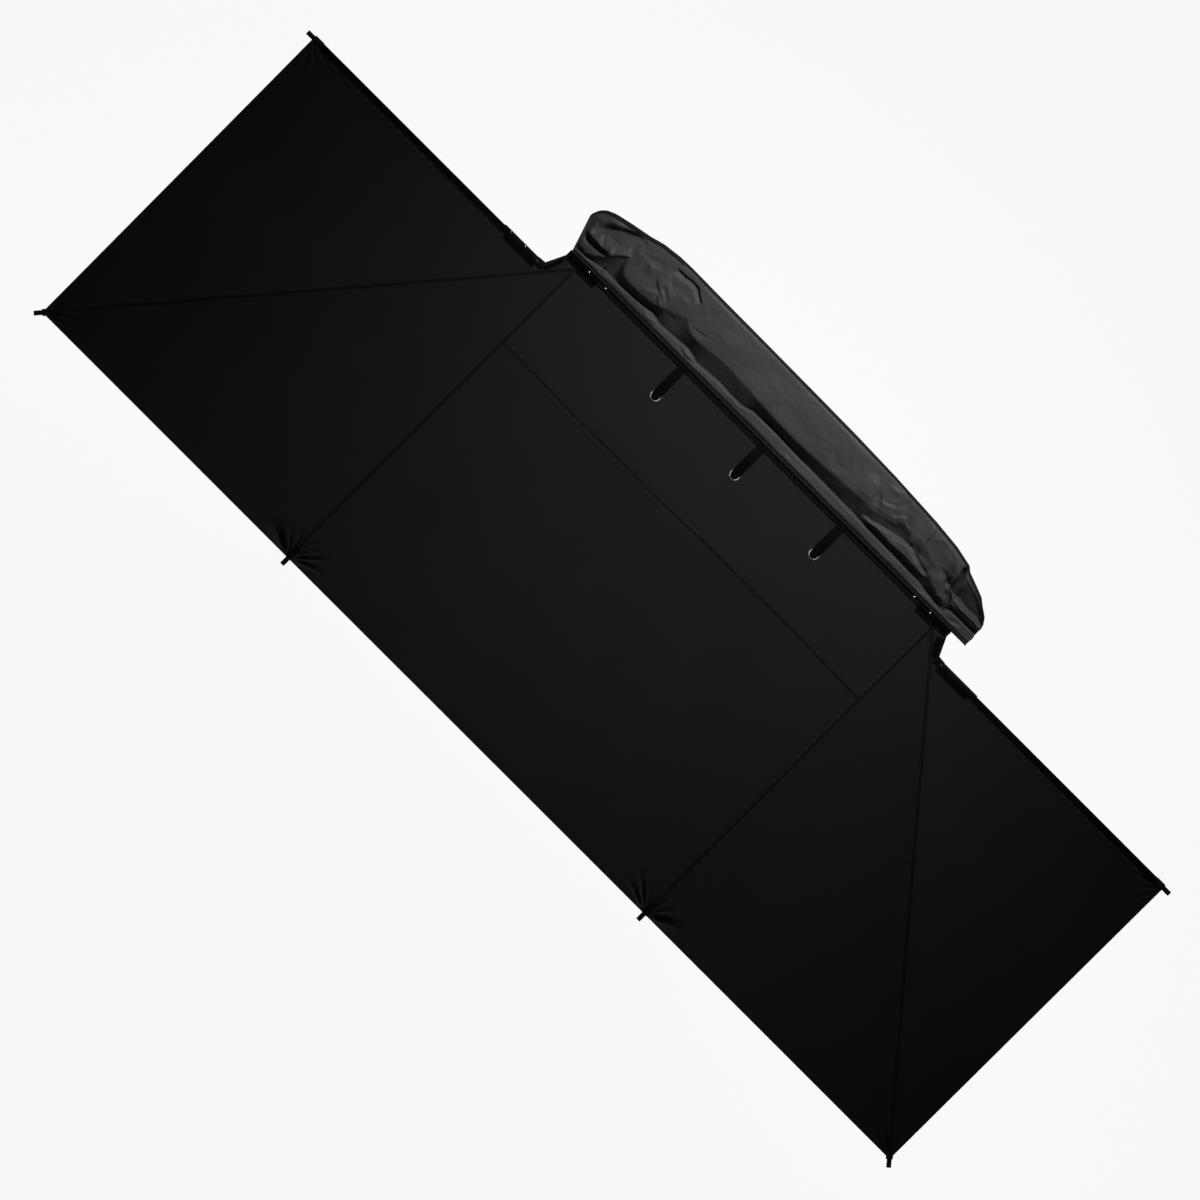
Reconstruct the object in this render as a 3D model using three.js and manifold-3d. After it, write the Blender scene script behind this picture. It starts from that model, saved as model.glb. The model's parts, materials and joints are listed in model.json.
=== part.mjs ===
import * as THREE from "three";
import { mergeVertices } from "three/addons/utils/BufferGeometryUtils.js";
import Module from "manifold-3d";

// Side awning for a roof rack, open: a back beam, a knuckle with three folding arms at
// each end, a five-panel canopy and the cover bag turned back over the rack.
// Millimetres. X runs forward along the vehicle, Y outward, Z up. The origin is the
// middle of the centre bracket's face on the rack. u runs from a beam end towards the
// beam's middle, v outward from the beam's outboard face.

// Fits
const clearance = 0.3;
const runningGap = 1;
const overrun = 5;

// Rack brackets
const bracketThickness = 6;
const bracketWidth = 80;
const bracketFoot = 80;
const bracketDrop = 74;
const bracketPitch = 780;
const rackSlotWidth = 9;
const rackSlotLength = 30;
const rackSlotPitch = 44;

// Bolts that hold the beam to the brackets
const mountBoltRadius = 4;
const mountBoltFlats = 13;
const mountBoltHead = 5.3;
const mountNutHeight = 6.5;
const mountBoltEnd = 3;
const mountBoltDepth = 45;

// Back beam, an extrusion
const beamLength = 2400;
const beamWidth = 32;
const beamHeight = 116;
const beamTop = 30;
const beamWall = 2.5;
const beamRoof = 15;
const grooveRadius = 3.6;
const grooveMouth = 3;
const grooveInset = 6.5;
const grooveLip = 2;
const slotMouth = 9;
const slotLip = 3;
const slotDepth = 8;
const slotHeight = 16;

// Bag's welt in the beam's groove stops this far from each beam end
const weltInset = 100;

// Screws through the beam's roof
const beamScrewInsets = [118, 220];
const beamScrewRadius = 2.5;
const beamScrewHead = 5;
const beamScrewHeadHeight = 2;
const beamScrewLength = 34;

// Arms: square-edged tubes in cast sockets, with a plastic end at the outer corner
const tubeWidth = 28;
const tubeHeight = 30;
const tubeWall = 2;
const socketHeight = 38;
const socketLength = 215;
const wingSocketWidth = 36;
const socketWidth = 32;
const bossRadius = 18;
const pocketStart = 42;
const tipLength = 50;
const tipWidth = 32;
const tipDepth = 18;
const tipPlug = 55;
const stubLength = 40;
const stubWidth = 22;
const stubHeight = 24;

// Arm pivots, seen from above
const pivotPitch = 38;
const crossPivotInset = 65;
const cornerPivotInset = 22;
const wingPivotReach = 85;

// Canopy
const canopyReach = 1850;
const canopyWing = 1500;
const canopyThickness = 2;
const canopyTilt = THREE.MathUtils.degToRad(4.5);
const canopyNotchLength = 190;
const canopyNotch = 20;
const canopyHem = 9;
const seamGap = 0.4;
const hemAtKnuckle = 44;
const hemOut = 116;

// Drop from the front arms' level to the rear arms' level
const levelDrop = 58;

// Knuckles
const plateThickness = 5;
const knuckleEndPlate = 10;
const knuckleFlangeLength = 185;
const knuckleFlange = 18;
const knuckleFlangeStep = 8;
const spigotLength = 235;
const spigotHeight = 60;
const linkWidth = 20;
const linkReach = 44;
const linkOut = 92;
const lugRadius = 14;
const lugThickness = 4;
const pivotPlateRadius = 20;
const pivotBoltRadius = 5;
const pivotHeadRadius = 8.5;
const pivotHeadHeight = 3.5;

// Straps that tie up the folded arms, and the eyelets they pass through
const strapPitch = 503;
const strapMiddle = -24;
const strapWidth = 52;
const strapEndWidth = 34;
const strapThickness = 2;
const strapOut = 165;
const strapRoot = 20;
const strapRootDepth = 10;
const strapHang = 110;
const eyeletRadius = 29;
const eyeletBore = 23;
const eyeletBarrel = 1.5;
const eyeletFlange = 1;

// Cover bag, turned back over the rack
const bagBack = -1318;
const bagFront = 1264;
const bagReach = 306;
const bagHeight = 71;
const bagRest = 9;
const bagSkin = 5.4;
const bagHingeOut = 6.5;
const bagFlap = 20;
const bagValley = 46;
const bagValleyHeight = 16;
const zipLength = 2060;
const zipMiddle = 30;
const zipWidth = 14;
const zipThickness = 3;
const zipOut = 223;
const sliderLength = 34;
const sliderWidth = 16;
const sliderThickness = 3;
const sliderEndGap = 12;

// Counts of flat sides that stand for round ones
const roundSides = 16;
const eyeletSides = 24;
const panelSteps = 14;

// Places worked out from the sizes above
const halfBeam = beamLength / 2;
const beamInboard = bracketFoot / 2 + bracketThickness + clearance;
const beamFace = beamInboard + beamWidth;
const beamBottom = beamTop - beamHeight;
const tubeEnd = tipLength + clearance;
const plateRise = socketHeight / 2 + runningGap;
const canopyRise = plateRise + plateThickness + clearance;
const canopyStart = beamTop + clearance;
const frontLevel = canopyStart - canopyRise / Math.cos(canopyTilt);
const armSets = [
  { name: "front", side: 1, level: frontLevel },
  { name: "rear", side: -1, level: frontLevel - levelDrop },
];
const armKinds = [
  { name: "cross", x: -crossPivotInset, v: pivotPitch, tipX: -crossPivotInset, tipV: canopyReach,
    width: socketWidth },
  { name: "corner", x: -cornerPivotInset, v: 2 * pivotPitch, tipX: canopyWing, tipV: canopyReach,
    width: socketWidth },
  { name: "wing", x: wingPivotReach, v: 3 * pivotPitch, tipX: canopyWing, tipV: 3 * pivotPitch,
    width: wingSocketWidth },
];

const wasm = await Module();
wasm.setup();

// Materials
function material(name, color, roughness, metalness) {
  const made = new THREE.MeshStandardMaterial({ color, roughness, metalness });
  made.name = name;
  return made;
}

const blackCoat = material("black powder coat", 0x0b0b0c, 0.55, 0.3);
const blackAnodised = material("black anodised aluminium", 0x101012, 0.4, 0.8);
const steel = material("stainless steel", 0xc4c6c8, 0.3, 1);
const plastic = material("black nylon", 0x0c0c0c, 0.6, 0);
const canvas = material("black canvas", 0x191919, 0.9, 0);
const bagCloth = material("black coated bag cloth", 0x2c2c2e, 0.4, 0);
const webbing = material("black webbing", 0x060606, 0.85, 0);
const zipTape = material("black zip", 0x0a0a0a, 0.6, 0);

// Geometry helpers
function block(x, y, z) {
  const size = [x, y, z].map((span) => Math.abs(span[1] - span[0]));
  const middle = [x, y, z].map((span) => (span[0] + span[1]) / 2);
  return new THREE.BoxGeometry(...size).translate(...middle);
}

function prism(outline, bottom, top, holes = []) {
  const shape = new THREE.Shape(outline);
  holes.forEach((hole) => shape.holes.push(new THREE.Path(hole)));
  const geometry = new THREE.ExtrudeGeometry(shape, { depth: top - bottom, bevelEnabled: false });
  return geometry.translate(0, 0, bottom);
}

function upright(radius, bottom, top, sides = roundSides) {
  const geometry = new THREE.CylinderGeometry(radius, radius, top - bottom, sides);
  return geometry.rotateX(Math.PI / 2).translate(0, 0, (bottom + top) / 2);
}

function alongX(geometry) {
  const turn = new THREE.Matrix4().makeBasis(
    new THREE.Vector3(0, 1, 0),
    new THREE.Vector3(0, 0, 1),
    new THREE.Vector3(1, 0, 0),
  );
  return geometry.applyMatrix4(turn);
}

function point(x, y) {
  return new THREE.Vector2(x, y);
}

function arc(x, y, radius, from, to, steps) {
  return Array.from({ length: steps + 1 }, (_, step) => {
    const angle = THREE.MathUtils.degToRad(from + ((to - from) * step) / steps);
    return point(x + radius * Math.cos(angle), y + radius * Math.sin(angle));
  });
}

function rectangle(x0, x1, y0, y1) {
  return [point(x0, y0), point(x1, y0), point(x1, y1), point(x0, y1)];
}

function solid(geometry) {
  geometry.deleteAttribute("normal");
  geometry.deleteAttribute("uv");
  const merged = mergeVertices(geometry);
  const mesh = new wasm.Mesh({
    numProp: 3,
    vertProperties: Float32Array.from(merged.attributes.position.array),
    triVerts: Uint32Array.from(merged.index.array),
  });
  return new wasm.Manifold(mesh);
}

function joined(...geometries) {
  return geometries.map(solid).reduce((whole, piece) => whole.add(piece));
}

function without(whole, ...cutters) {
  return cutters.map(solid).reduce((left, cutter) => left.subtract(cutter), whole);
}

function surface(whole) {
  const mesh = whole.getMesh();
  const geometry = new THREE.BufferGeometry();
  geometry.setAttribute("position", new THREE.BufferAttribute(mesh.vertProperties, 3));
  geometry.setIndex(new THREE.BufferAttribute(mesh.triVerts, 1));
  geometry.computeVertexNormals();
  return geometry;
}

function addPiece(parent, name, geometry, finish) {
  const mesh = new THREE.Mesh(geometry, finish);
  mesh.name = name;
  parent.add(mesh);
  return mesh;
}

const awning = new THREE.Group();

// Back beam
function grooveOutline(middle) {
  const mouthAngle = THREE.MathUtils.radToDeg(Math.asin(grooveMouth / 2 / grooveRadius));
  const centre = beamHeight - grooveLip - grooveRadius;
  return [
    point(middle + grooveMouth / 2, beamHeight),
    ...arc(middle, centre, grooveRadius, 90 - mouthAngle, mouthAngle - 270, 10),
    point(middle - grooveMouth / 2, beamHeight),
  ];
}

const slotMiddle = -mountBoltDepth - beamBottom;
const slotInner = slotLip + slotDepth;

function beamProfile() {
  const mouth = [slotMiddle - slotMouth / 2, slotMiddle + slotMouth / 2];
  const chamber = [slotMiddle - slotHeight / 2, slotMiddle + slotHeight / 2];
  return [
    point(0, 0),
    point(beamWidth, 0),
    point(beamWidth, beamHeight),
    ...grooveOutline(beamWidth - grooveInset),
    ...grooveOutline(grooveInset),
    point(0, beamHeight),
    point(0, mouth[1]),
    point(slotLip, mouth[1]),
    point(slotLip, chamber[1]),
    point(slotInner, chamber[1]),
    point(slotInner, chamber[0]),
    point(slotLip, chamber[0]),
    point(slotLip, mouth[0]),
    point(0, mouth[0]),
  ];
}

const cavityInboard = slotInner + beamWall;
const cavityOutboard = beamWidth - beamWall;
const cavityTop = beamHeight - beamRoof;

function beamCavities() {
  const below = slotMiddle - slotHeight / 2 - beamWall;
  const above = slotMiddle + slotHeight / 2 + beamWall;
  return [
    rectangle(cavityInboard, cavityOutboard, beamWall, cavityTop),
    rectangle(beamWall, slotInner, beamWall, below),
    rectangle(beamWall, slotInner, above, cavityTop),
  ];
}

function screwPlaces() {
  return armSets.flatMap(({ name, side }) => beamScrewInsets.map((inset, index) => (
    { name: `${name}_beam_screw_${index + 1}`, x: side * (halfBeam - inset) })));
}

function addBeam() {
  const place = (geometry) => alongX(geometry).translate(0, beamInboard, beamBottom);
  const raw = place(prism(beamProfile(), -halfBeam, halfBeam));
  const cavities = beamCavities().map((outline) => (
    place(prism(outline, -halfBeam - overrun, halfBeam + overrun))));
  const bores = screwPlaces().map(({ x }) => (
    upright(beamScrewRadius + clearance, beamTop - beamRoof - overrun, beamTop + overrun)
      .translate(x, beamInboard + beamWidth / 2, 0)));
  addPiece(awning, "back_beam", surface(without(solid(raw), ...cavities, ...bores)), blackAnodised);
}

function addBeamScrews() {
  for (const { name, x } of screwPlaces()) {
    const head = beamTop + clearance;
    const screw = joined(
      upright(beamScrewHead, head, head + beamScrewHeadHeight),
      upright(beamScrewRadius, beamTop - beamScrewLength, head + beamScrewHeadHeight / 2),
    );
    const mesh = addPiece(awning, name, surface(screw), steel);
    mesh.position.set(x, beamInboard + beamWidth / 2, 0);
  }
}

function addWelts() {
  const places = [
    ["bag_welt", grooveInset, halfBeam - weltInset],
    ["canopy_welt", beamWidth - grooveInset, halfBeam - canopyNotchLength],
  ];
  for (const [name, inset, end] of places) {
    const rod = alongX(upright(grooveRadius - clearance, -end, end, 10));
    const mesh = addPiece(awning, name, rod, webbing);
    mesh.position.set(0, beamInboard + inset, beamTop - grooveLip - grooveRadius);
  }
}

// Rack brackets with their bolts and nuts
function hexagon(flats, bottom, top) {
  const radius = flats / 2 / Math.cos(Math.PI / 6);
  return upright(radius, bottom, top, 6);
}

function alongY(geometry) {
  return geometry.rotateX(-Math.PI / 2);
}

function addBracket(name, x) {
  const half = bracketWidth / 2;
  const foot = bracketFoot / 2;
  const slots = [-1, 1].map((side) => (
    block(
      [-rackSlotWidth / 2, rackSlotWidth / 2],
      [-rackSlotLength / 2, rackSlotLength / 2],
      [-overrun, bracketThickness + overrun],
    ).translate((side * rackSlotPitch) / 2, 0, 0)));
  const bore = alongY(upright(mountBoltRadius + clearance, foot - overrun, beamInboard + overrun));
  const plate = joined(
    block([-half, half], [-foot, foot + bracketThickness], [0, bracketThickness]),
    block([-half, half], [foot, foot + bracketThickness], [-bracketDrop, bracketThickness]),
  );
  const cut = without(plate, ...slots, bore.translate(0, 0, -mountBoltDepth));
  addPiece(awning, `rack_bracket_${name}`, surface(cut), blackCoat).position.set(x, 0, 0);
}

function addMountBolt(name, x) {
  const seat = beamInboard + slotLip + clearance;
  const foot = bracketFoot / 2;
  const nutFace = foot - clearance;
  const end = nutFace - mountNutHeight - mountBoltEnd;
  const bolt = joined(
    hexagon(mountBoltFlats, seat, seat + mountBoltHead),
    upright(mountBoltRadius, end, seat + mountBoltHead / 2),
  );
  const nut = without(
    solid(hexagon(mountBoltFlats, nutFace - mountNutHeight, nutFace)),
    upright(mountBoltRadius + clearance, end, foot),
  );
  const boltMesh = addPiece(awning, `mount_bolt_${name}`, alongY(surface(bolt)), steel);
  const nutMesh = addPiece(awning, `mount_nut_${name}`, alongY(surface(nut)), steel);
  boltMesh.position.set(x, 0, -mountBoltDepth);
  nutMesh.position.set(x, 0, -mountBoltDepth);
}

function addRackMounts() {
  const places = [["rear", -bracketPitch], ["middle", 0], ["front", bracketPitch]];
  for (const [name, x] of places) {
    addBracket(name, x);
    addMountBolt(name, x);
  }
}

// Knuckles: a casting on each beam end, and the plate that closes its arm bearings
function setMatrix({ side, level }) {
  const matrix = new THREE.Matrix4().makeRotationX(-canopyTilt);
  return matrix.setPosition(side * halfBeam, beamFace, level);
}

// Outer edge of the link that carries the plates, seen from above
function linkEdge(y) {
  return linkWidth / 2 + (linkReach * y) / linkOut;
}

function mirrored(outline, side) {
  return outline.map(({ x, y }) => point(side * x, y));
}

function plateOutline(side) {
  const place = (kind) => [armKinds[kind].x, armKinds[kind].v / Math.cos(canopyTilt)];
  const start = knuckleFlange + runningGap;
  const outline = [
    point(linkEdge(start), start),
    point(linkEdge(linkOut), linkOut),
    ...arc(...place(2), pivotPlateRadius, -90, 100, 10),
    ...arc(...place(1), pivotPlateRadius, 105, 135, 3),
    ...arc(...place(0), pivotPlateRadius, 135, 250, 6),
  ];
  return mirrored(outline, side);
}

// The tilted link starts far enough out for its lower edge to clear the beam
function linkOutline(side) {
  const start = clearance + (plateRise + plateThickness) * Math.tan(canopyTilt);
  const outline = [
    point(linkEdge(start) - linkWidth, start),
    point(linkEdge(start), start),
    point(linkEdge(linkOut), linkOut),
    point(linkEdge(linkOut) - linkWidth, linkOut),
  ];
  return mirrored(outline, side);
}

function eachPivot(side, make) {
  return armKinds.map(({ x, v }) => make().translate(side * x, v / Math.cos(canopyTilt), 0));
}

function addKnuckle(armSet) {
  const { name, side } = armSet;
  const matrix = setMatrix(armSet);
  const end = side * halfBeam;
  const beamSpan = [beamInboard, beamFace + knuckleFlange];
  const flangeTop = beamTop - knuckleFlangeStep;
  const spigotTop = beamBottom + cavityTop - clearance;
  const beamSide = [
    block([end + side * clearance, end + side * knuckleEndPlate], beamSpan, [beamBottom, flangeTop]),
    block([end - side * knuckleFlangeLength, end + side * knuckleEndPlate],
      [beamFace + clearance, beamFace + knuckleFlange], [beamBottom, flangeTop]),
    block([end - side * spigotLength, end + side * knuckleEndPlate],
      [beamInboard + cavityInboard + clearance, beamInboard + cavityOutboard - clearance],
      [spigotTop - spigotHeight, spigotTop]),
  ];
  const armSide = [
    prism(plateOutline(side), -plateRise - plateThickness, -plateRise),
    prism(linkOutline(side), -plateRise - plateThickness, plateRise - clearance),
    ...eachPivot(side, () => (
      upright(lugRadius, -plateRise - plateThickness - lugThickness, -plateRise))),
  ].map((geometry) => geometry.applyMatrix4(matrix));
  const bores = eachPivot(side, () => (
    upright(pivotBoltRadius + clearance, -plateRise - beamWidth, -socketHeight / 2)));
  const screwBores = beamScrewInsets.map((inset) => (
    upright(beamScrewRadius + clearance, beamTop - beamScrewLength - clearance, beamTop + overrun)
      .translate(end - side * inset, beamInboard + beamWidth / 2, 0)));
  const casting = without(
    joined(...beamSide, ...armSide),
    ...bores.map((geometry) => geometry.applyMatrix4(matrix)),
    ...screwBores,
  );
  addPiece(awning, `${name}_knuckle`, surface(casting), blackCoat);
}

function headCone(radius, grow) {
  const top = plateRise + plateThickness;
  const points = [
    point(0, top - pivotHeadHeight - grow),
    point(radius, top - pivotHeadHeight - grow),
    point(pivotHeadRadius + grow, top),
    point(pivotHeadRadius + grow, top + grow),
    point(0, top + grow),
  ];
  return new THREE.LatheGeometry(points, roundSides).rotateX(Math.PI / 2);
}

function addKnucklePlate({ name, side }, setGroup) {
  const plate = solid(prism(plateOutline(side), plateRise, plateRise + plateThickness));
  const bores = eachPivot(side, () => (
    upright(pivotBoltRadius + clearance, plateRise - overrun, plateRise + plateThickness)));
  const sinks = eachPivot(side, () => headCone(pivotBoltRadius + clearance, clearance));
  const cut = without(plate, ...bores, ...sinks);
  addPiece(setGroup, `${name}_knuckle_plate`, surface(cut), blackCoat);
}

function addPivotBolt(name, pivotGroup) {
  const bottom = -plateRise - plateThickness - lugThickness;
  const head = plateRise + plateThickness - pivotHeadHeight;
  const bolt = joined(
    upright(pivotBoltRadius, bottom, head + pivotHeadHeight / 2),
    headCone(pivotBoltRadius, 0),
  );
  addPiece(pivotGroup, name, surface(bolt), steel);
}

// Arms
function armReach({ x, v, tipX, tipV }) {
  return point(tipX - x, (tipV - v) / Math.cos(canopyTilt));
}

function socketSolid({ width }) {
  const outline = [
    ...arc(0, 0, bossRadius, 90, 270, 12),
    point(socketLength, -width / 2),
    point(socketLength, width / 2),
  ];
  return without(
    solid(prism(outline, -socketHeight / 2, socketHeight / 2)),
    block(
      [pocketStart, socketLength + overrun],
      [-tubeWidth / 2 - clearance, tubeWidth / 2 + clearance],
      [-tubeHeight / 2 - clearance, tubeHeight / 2 + clearance],
    ),
    upright(pivotBoltRadius + clearance, -socketHeight, socketHeight),
  );
}

function tubeSolid(length) {
  const outer = rectangle(-tubeWidth / 2, tubeWidth / 2, -tubeHeight / 2, tubeHeight / 2);
  const inner = rectangle(tubeWall - tubeWidth / 2, tubeWidth / 2 - tubeWall,
    tubeWall - tubeHeight / 2, tubeHeight / 2 - tubeWall);
  return alongX(prism(outer, pocketStart + clearance, length - tubeEnd, [inner]));
}

function tipSolid(length) {
  const plugGap = tubeWall + clearance;
  const plugY = tubeWidth / 2 - plugGap;
  const plugZ = tubeHeight / 2 - plugGap;
  const capStart = length - tipLength;
  return joined(
    block([capStart, length], [-tipWidth / 2, tipWidth / 2], [-tipDepth, canopyRise - clearance]),
    block([capStart - tipPlug, length], [-plugY, plugY], [-plugZ, plugZ]),
    block([length - tipPlug, length + stubLength], [-stubWidth / 2, stubWidth / 2],
      [-stubHeight / 2, stubHeight / 2]),
  );
}

function addArm({ name, side }, kind, setGroup) {
  const reach = armReach(kind);
  const length = reach.length();
  const arm = new THREE.Group();
  arm.position.set(side * kind.x, kind.v / Math.cos(canopyTilt), 0);
  arm.rotation.z = Math.atan2(reach.y, side * reach.x);
  addPiece(arm, `${name}_${kind.name}_socket`, surface(socketSolid(kind)), blackCoat);
  addPiece(arm, `${name}_${kind.name}_tube`, tubeSolid(length), blackAnodised);
  addPiece(arm, `${name}_${kind.name}_tip`, surface(tipSolid(length)), plastic);
  addPivotBolt(`${name}_${kind.name}_pivot`, arm);
  setGroup.add(arm);
}

function addArmSet(armSet) {
  const setGroup = new THREE.Group();
  setGroup.applyMatrix4(setMatrix(armSet));
  addKnuckle(armSet);
  addKnucklePlate(armSet, setGroup);
  armKinds.forEach((kind) => addArm(armSet, kind, setGroup));
  awning.add(setGroup);
}

// Canopy: thin panels, steeper towards the rear, where the arms lie lower
function canopySlope(x) {
  const crossX = halfBeam - crossPivotInset;
  const rearShare = THREE.MathUtils.smoothstep(-x, -crossX, crossX);
  return Math.tan(canopyTilt) + (rearShare * levelDrop) / canopyReach;
}

function canopyHeight(x, v) {
  return canopyStart - v * canopySlope(x);
}

function draped(geometry, heightAt) {
  const positions = geometry.attributes.position;
  for (let index = 0; index < positions.count; index += 1) {
    const x = positions.getX(index);
    const v = positions.getY(index);
    positions.setZ(index, positions.getZ(index) + heightAt(x, v));
  }
  return geometry.translate(0, beamFace, 0);
}

function panel(corners, heightAt) {
  const outline = corners.map(([x, v]) => point(x, v));
  return draped(prism(outline, 0, canopyThickness), heightAt);
}

function strapPlaces() {
  return [-1, 0, 1].map((step) => strapMiddle - step * strapPitch);
}

function addCentrePanel() {
  const edge = halfBeam - crossPivotInset - seamGap / 2;
  const notch = halfBeam - canopyNotchLength;
  const depth = canopyReach + canopyHem;
  const flat = new THREE.BoxGeometry(2 * edge, depth, canopyThickness, panelSteps, panelSteps, 1)
    .translate(0, depth / 2 - canopyHem, canopyThickness / 2);
  const heights = [canopyHeight(-halfBeam, canopyReach), beamTop + overrun];
  const notches = [-1, 1].map((side) => (
    block([side * notch, side * halfBeam], [beamInboard, beamFace + canopyNotch], heights)));
  const holes = strapPlaces().map((x) => (
    upright(eyeletBore + eyeletBarrel + clearance, ...heights, eyeletSides)
      .translate(x, beamFace + strapOut, 0)));
  const sheet = without(solid(draped(flat, canopyHeight)), ...notches, ...holes);
  addPiece(awning, "canopy_centre", surface(sheet), canvas);
}

// Height of the plane through a wing panel's three corners
function wingHeight({ side, level }) {
  const end = side * halfBeam;
  const innerHeight = level - hemOut * Math.tan(canopyTilt) + canopyRise / Math.cos(canopyTilt);
  const apex = new THREE.Vector3(-crossPivotInset, canopyNotch, canopyHeight(end, canopyNotch));
  const outer = new THREE.Vector3(canopyWing, canopyReach, canopyHeight(end, canopyReach));
  const inner = new THREE.Vector3(canopyWing, hemOut, innerHeight);
  const plane = new THREE.Plane().setFromCoplanarPoints(apex, outer, inner);
  return (x, v) => -(plane.normal.x * x + plane.normal.y * v + plane.constant) / plane.normal.z;
}

function addSidePanels(armSet) {
  const { name, side } = armSet;
  const apexX = seamGap / 2 - crossPivotInset;
  const towards = ([x, v]) => [side * (halfBeam + x), v];
  const cornerPanel = [
    [apexX, canopyNotch + seamGap],
    [canopyWing - seamGap, canopyReach],
    [apexX, canopyReach],
  ];
  const wingPanel = [
    [apexX, canopyNotch],
    [linkWidth / 2, canopyNotch],
    [hemAtKnuckle, hemOut],
    [canopyWing, hemOut],
    [canopyWing, canopyReach - seamGap],
  ];
  const slope = wingHeight(armSet);
  const wingSlope = (x, v) => slope(side * x - halfBeam, v);
  addPiece(awning, `canopy_${name}_corner`, panel(cornerPanel.map(towards), canopyHeight), canvas);
  addPiece(awning, `canopy_${name}_wing`, panel(wingPanel.map(towards), wingSlope), canvas);
}

// Straps and eyelets
function addStrap(name, x) {
  const half = strapWidth / 2;
  const endHalf = strapEndWidth / 2;
  const bottom = canopyThickness + eyeletFlange + 2 * clearance;
  const top = bottom + strapThickness;
  const end = strapOut + strapThickness / 2;
  const surfaceHeight = canopyHeight(x, strapOut);
  const outline = [
    point(-half, -strapRoot),
    point(half, -strapRoot),
    point(endHalf, end),
    point(-endHalf, end),
  ];
  const strap = joined(
    draped(prism(outline, bottom, top), (_, v) => canopyHeight(x, v)),
    block([-half, half], [beamFace - strapRoot, beamFace - strapRoot + strapRootDepth],
      [canopyStart, canopyStart + top]),
    block([-endHalf, endHalf], [beamFace + end - strapThickness, beamFace + end],
      [surfaceHeight - strapHang, surfaceHeight + top - strapThickness / 2]),
  );
  addPiece(awning, `tie_strap_${name}`, surface(strap), webbing).position.x = x;
}

function addEyelet(name, x) {
  const barrel = eyeletBore + eyeletBarrel;
  const above = canopyThickness / 2 + clearance;
  const points = [
    point(eyeletBore, -above - eyeletFlange),
    point(eyeletRadius, -above - eyeletFlange),
    point(eyeletRadius, -above),
    point(barrel, -above),
    point(barrel, above),
    point(eyeletRadius, above),
    point(eyeletRadius, above + eyeletFlange),
    point(eyeletBore, above + eyeletFlange),
    point(eyeletBore, -above - eyeletFlange),
  ];
  const ring = new THREE.LatheGeometry(points, eyeletSides).rotateX(Math.PI / 2);
  const mesh = addPiece(awning, `eyelet_${name}`, ring, steel);
  mesh.rotation.x = -Math.atan(canopySlope(x));
  mesh.position.set(x, beamFace + strapOut, canopyHeight(x, strapOut) + canopyThickness / 2);
}

function addStraps() {
  const names = ["front", "middle", "rear"];
  strapPlaces().reverse().forEach((x, index) => {
    addStrap(names[index], x);
    addEyelet(names[index], x);
  });
}

// Cover bag: sections of one closed skin, their places and sizes as shares
const bagStations = [
  { placeShare: 0, reachShare: 0.2, heightShare: 0.42 },
  { placeShare: 0.05, reachShare: 0.55, heightShare: 0.6 },
  { placeShare: 0.11, reachShare: 0.78, heightShare: 0.8 },
  { placeShare: 0.28, reachShare: 0.94, heightShare: 0.95 },
  { placeShare: 0.44, reachShare: 0.89, heightShare: 1 },
  { placeShare: 0.63, reachShare: 1, heightShare: 0.96 },
  { placeShare: 0.78, reachShare: 1, heightShare: 0.9 },
  { placeShare: 0.9, reachShare: 1, heightShare: 0.8 },
  { placeShare: 0.984, reachShare: 0.66, heightShare: 0.55 },
  { placeShare: 1, reachShare: 0.4, heightShare: 0.4 },
];
const humpShares = [[0.3, 0.72], [0.48, 1], [0.76, 0.9], [0.95, 0.52], [1, 0.2]];

function bagSection({ reachShare, heightShare }) {
  const flap = beamTop + clearance;
  const reach = bagValley + (bagReach - bagValley) * reachShare;
  const hump = (share) => bagValley + (reach - bagValley) * share;
  const lipShare = 0.94;
  return [
    point(0, flap),
    point(-bagSkin / 2, flap + bagSkin / 2),
    point(0, flap + bagSkin),
    point(bagFlap, flap + bagSkin),
    point(bagValley, bagRest + bagValleyHeight),
    ...humpShares.map(([out, up]) => point(hump(out), bagRest + bagHeight * heightShare * up)),
    point(hump(lipShare), bagRest),
    point(bagFlap, bagRest),
    point(bagHingeOut + clearance, flap),
  ];
}

function loft(sections, places) {
  const count = sections[0].length;
  const positions = sections.flatMap((section, index) => (
    section.flatMap(({ x, y }) => [places[index], beamInboard + bagHingeOut - x, y])));
  const faces = [];
  for (let row = 0; row + 1 < sections.length; row += 1) {
    for (let step = 0; step < count; step += 1) {
      const next = (step + 1) % count;
      const low = row * count;
      const high = low + count;
      faces.push(low + step, high + next, high + step, low + step, low + next, high + next);
    }
  }
  const ends = THREE.ShapeUtils.triangulateShape(sections[0], []);
  const last = (sections.length - 1) * count;
  ends.forEach(([a, b, c]) => faces.push(a, b, c, last + a, last + c, last + b));
  const geometry = new THREE.BufferGeometry();
  geometry.setAttribute("position", new THREE.Float32BufferAttribute(positions, 3));
  geometry.setIndex(faces);
  return geometry;
}

function addBag() {
  const sections = bagStations.map(bagSection);
  const places = bagStations.map(({ placeShare }) => bagBack + (bagFront - bagBack) * placeShare);
  addPiece(awning, "bag", loft(sections, places), bagCloth);
}

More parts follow.
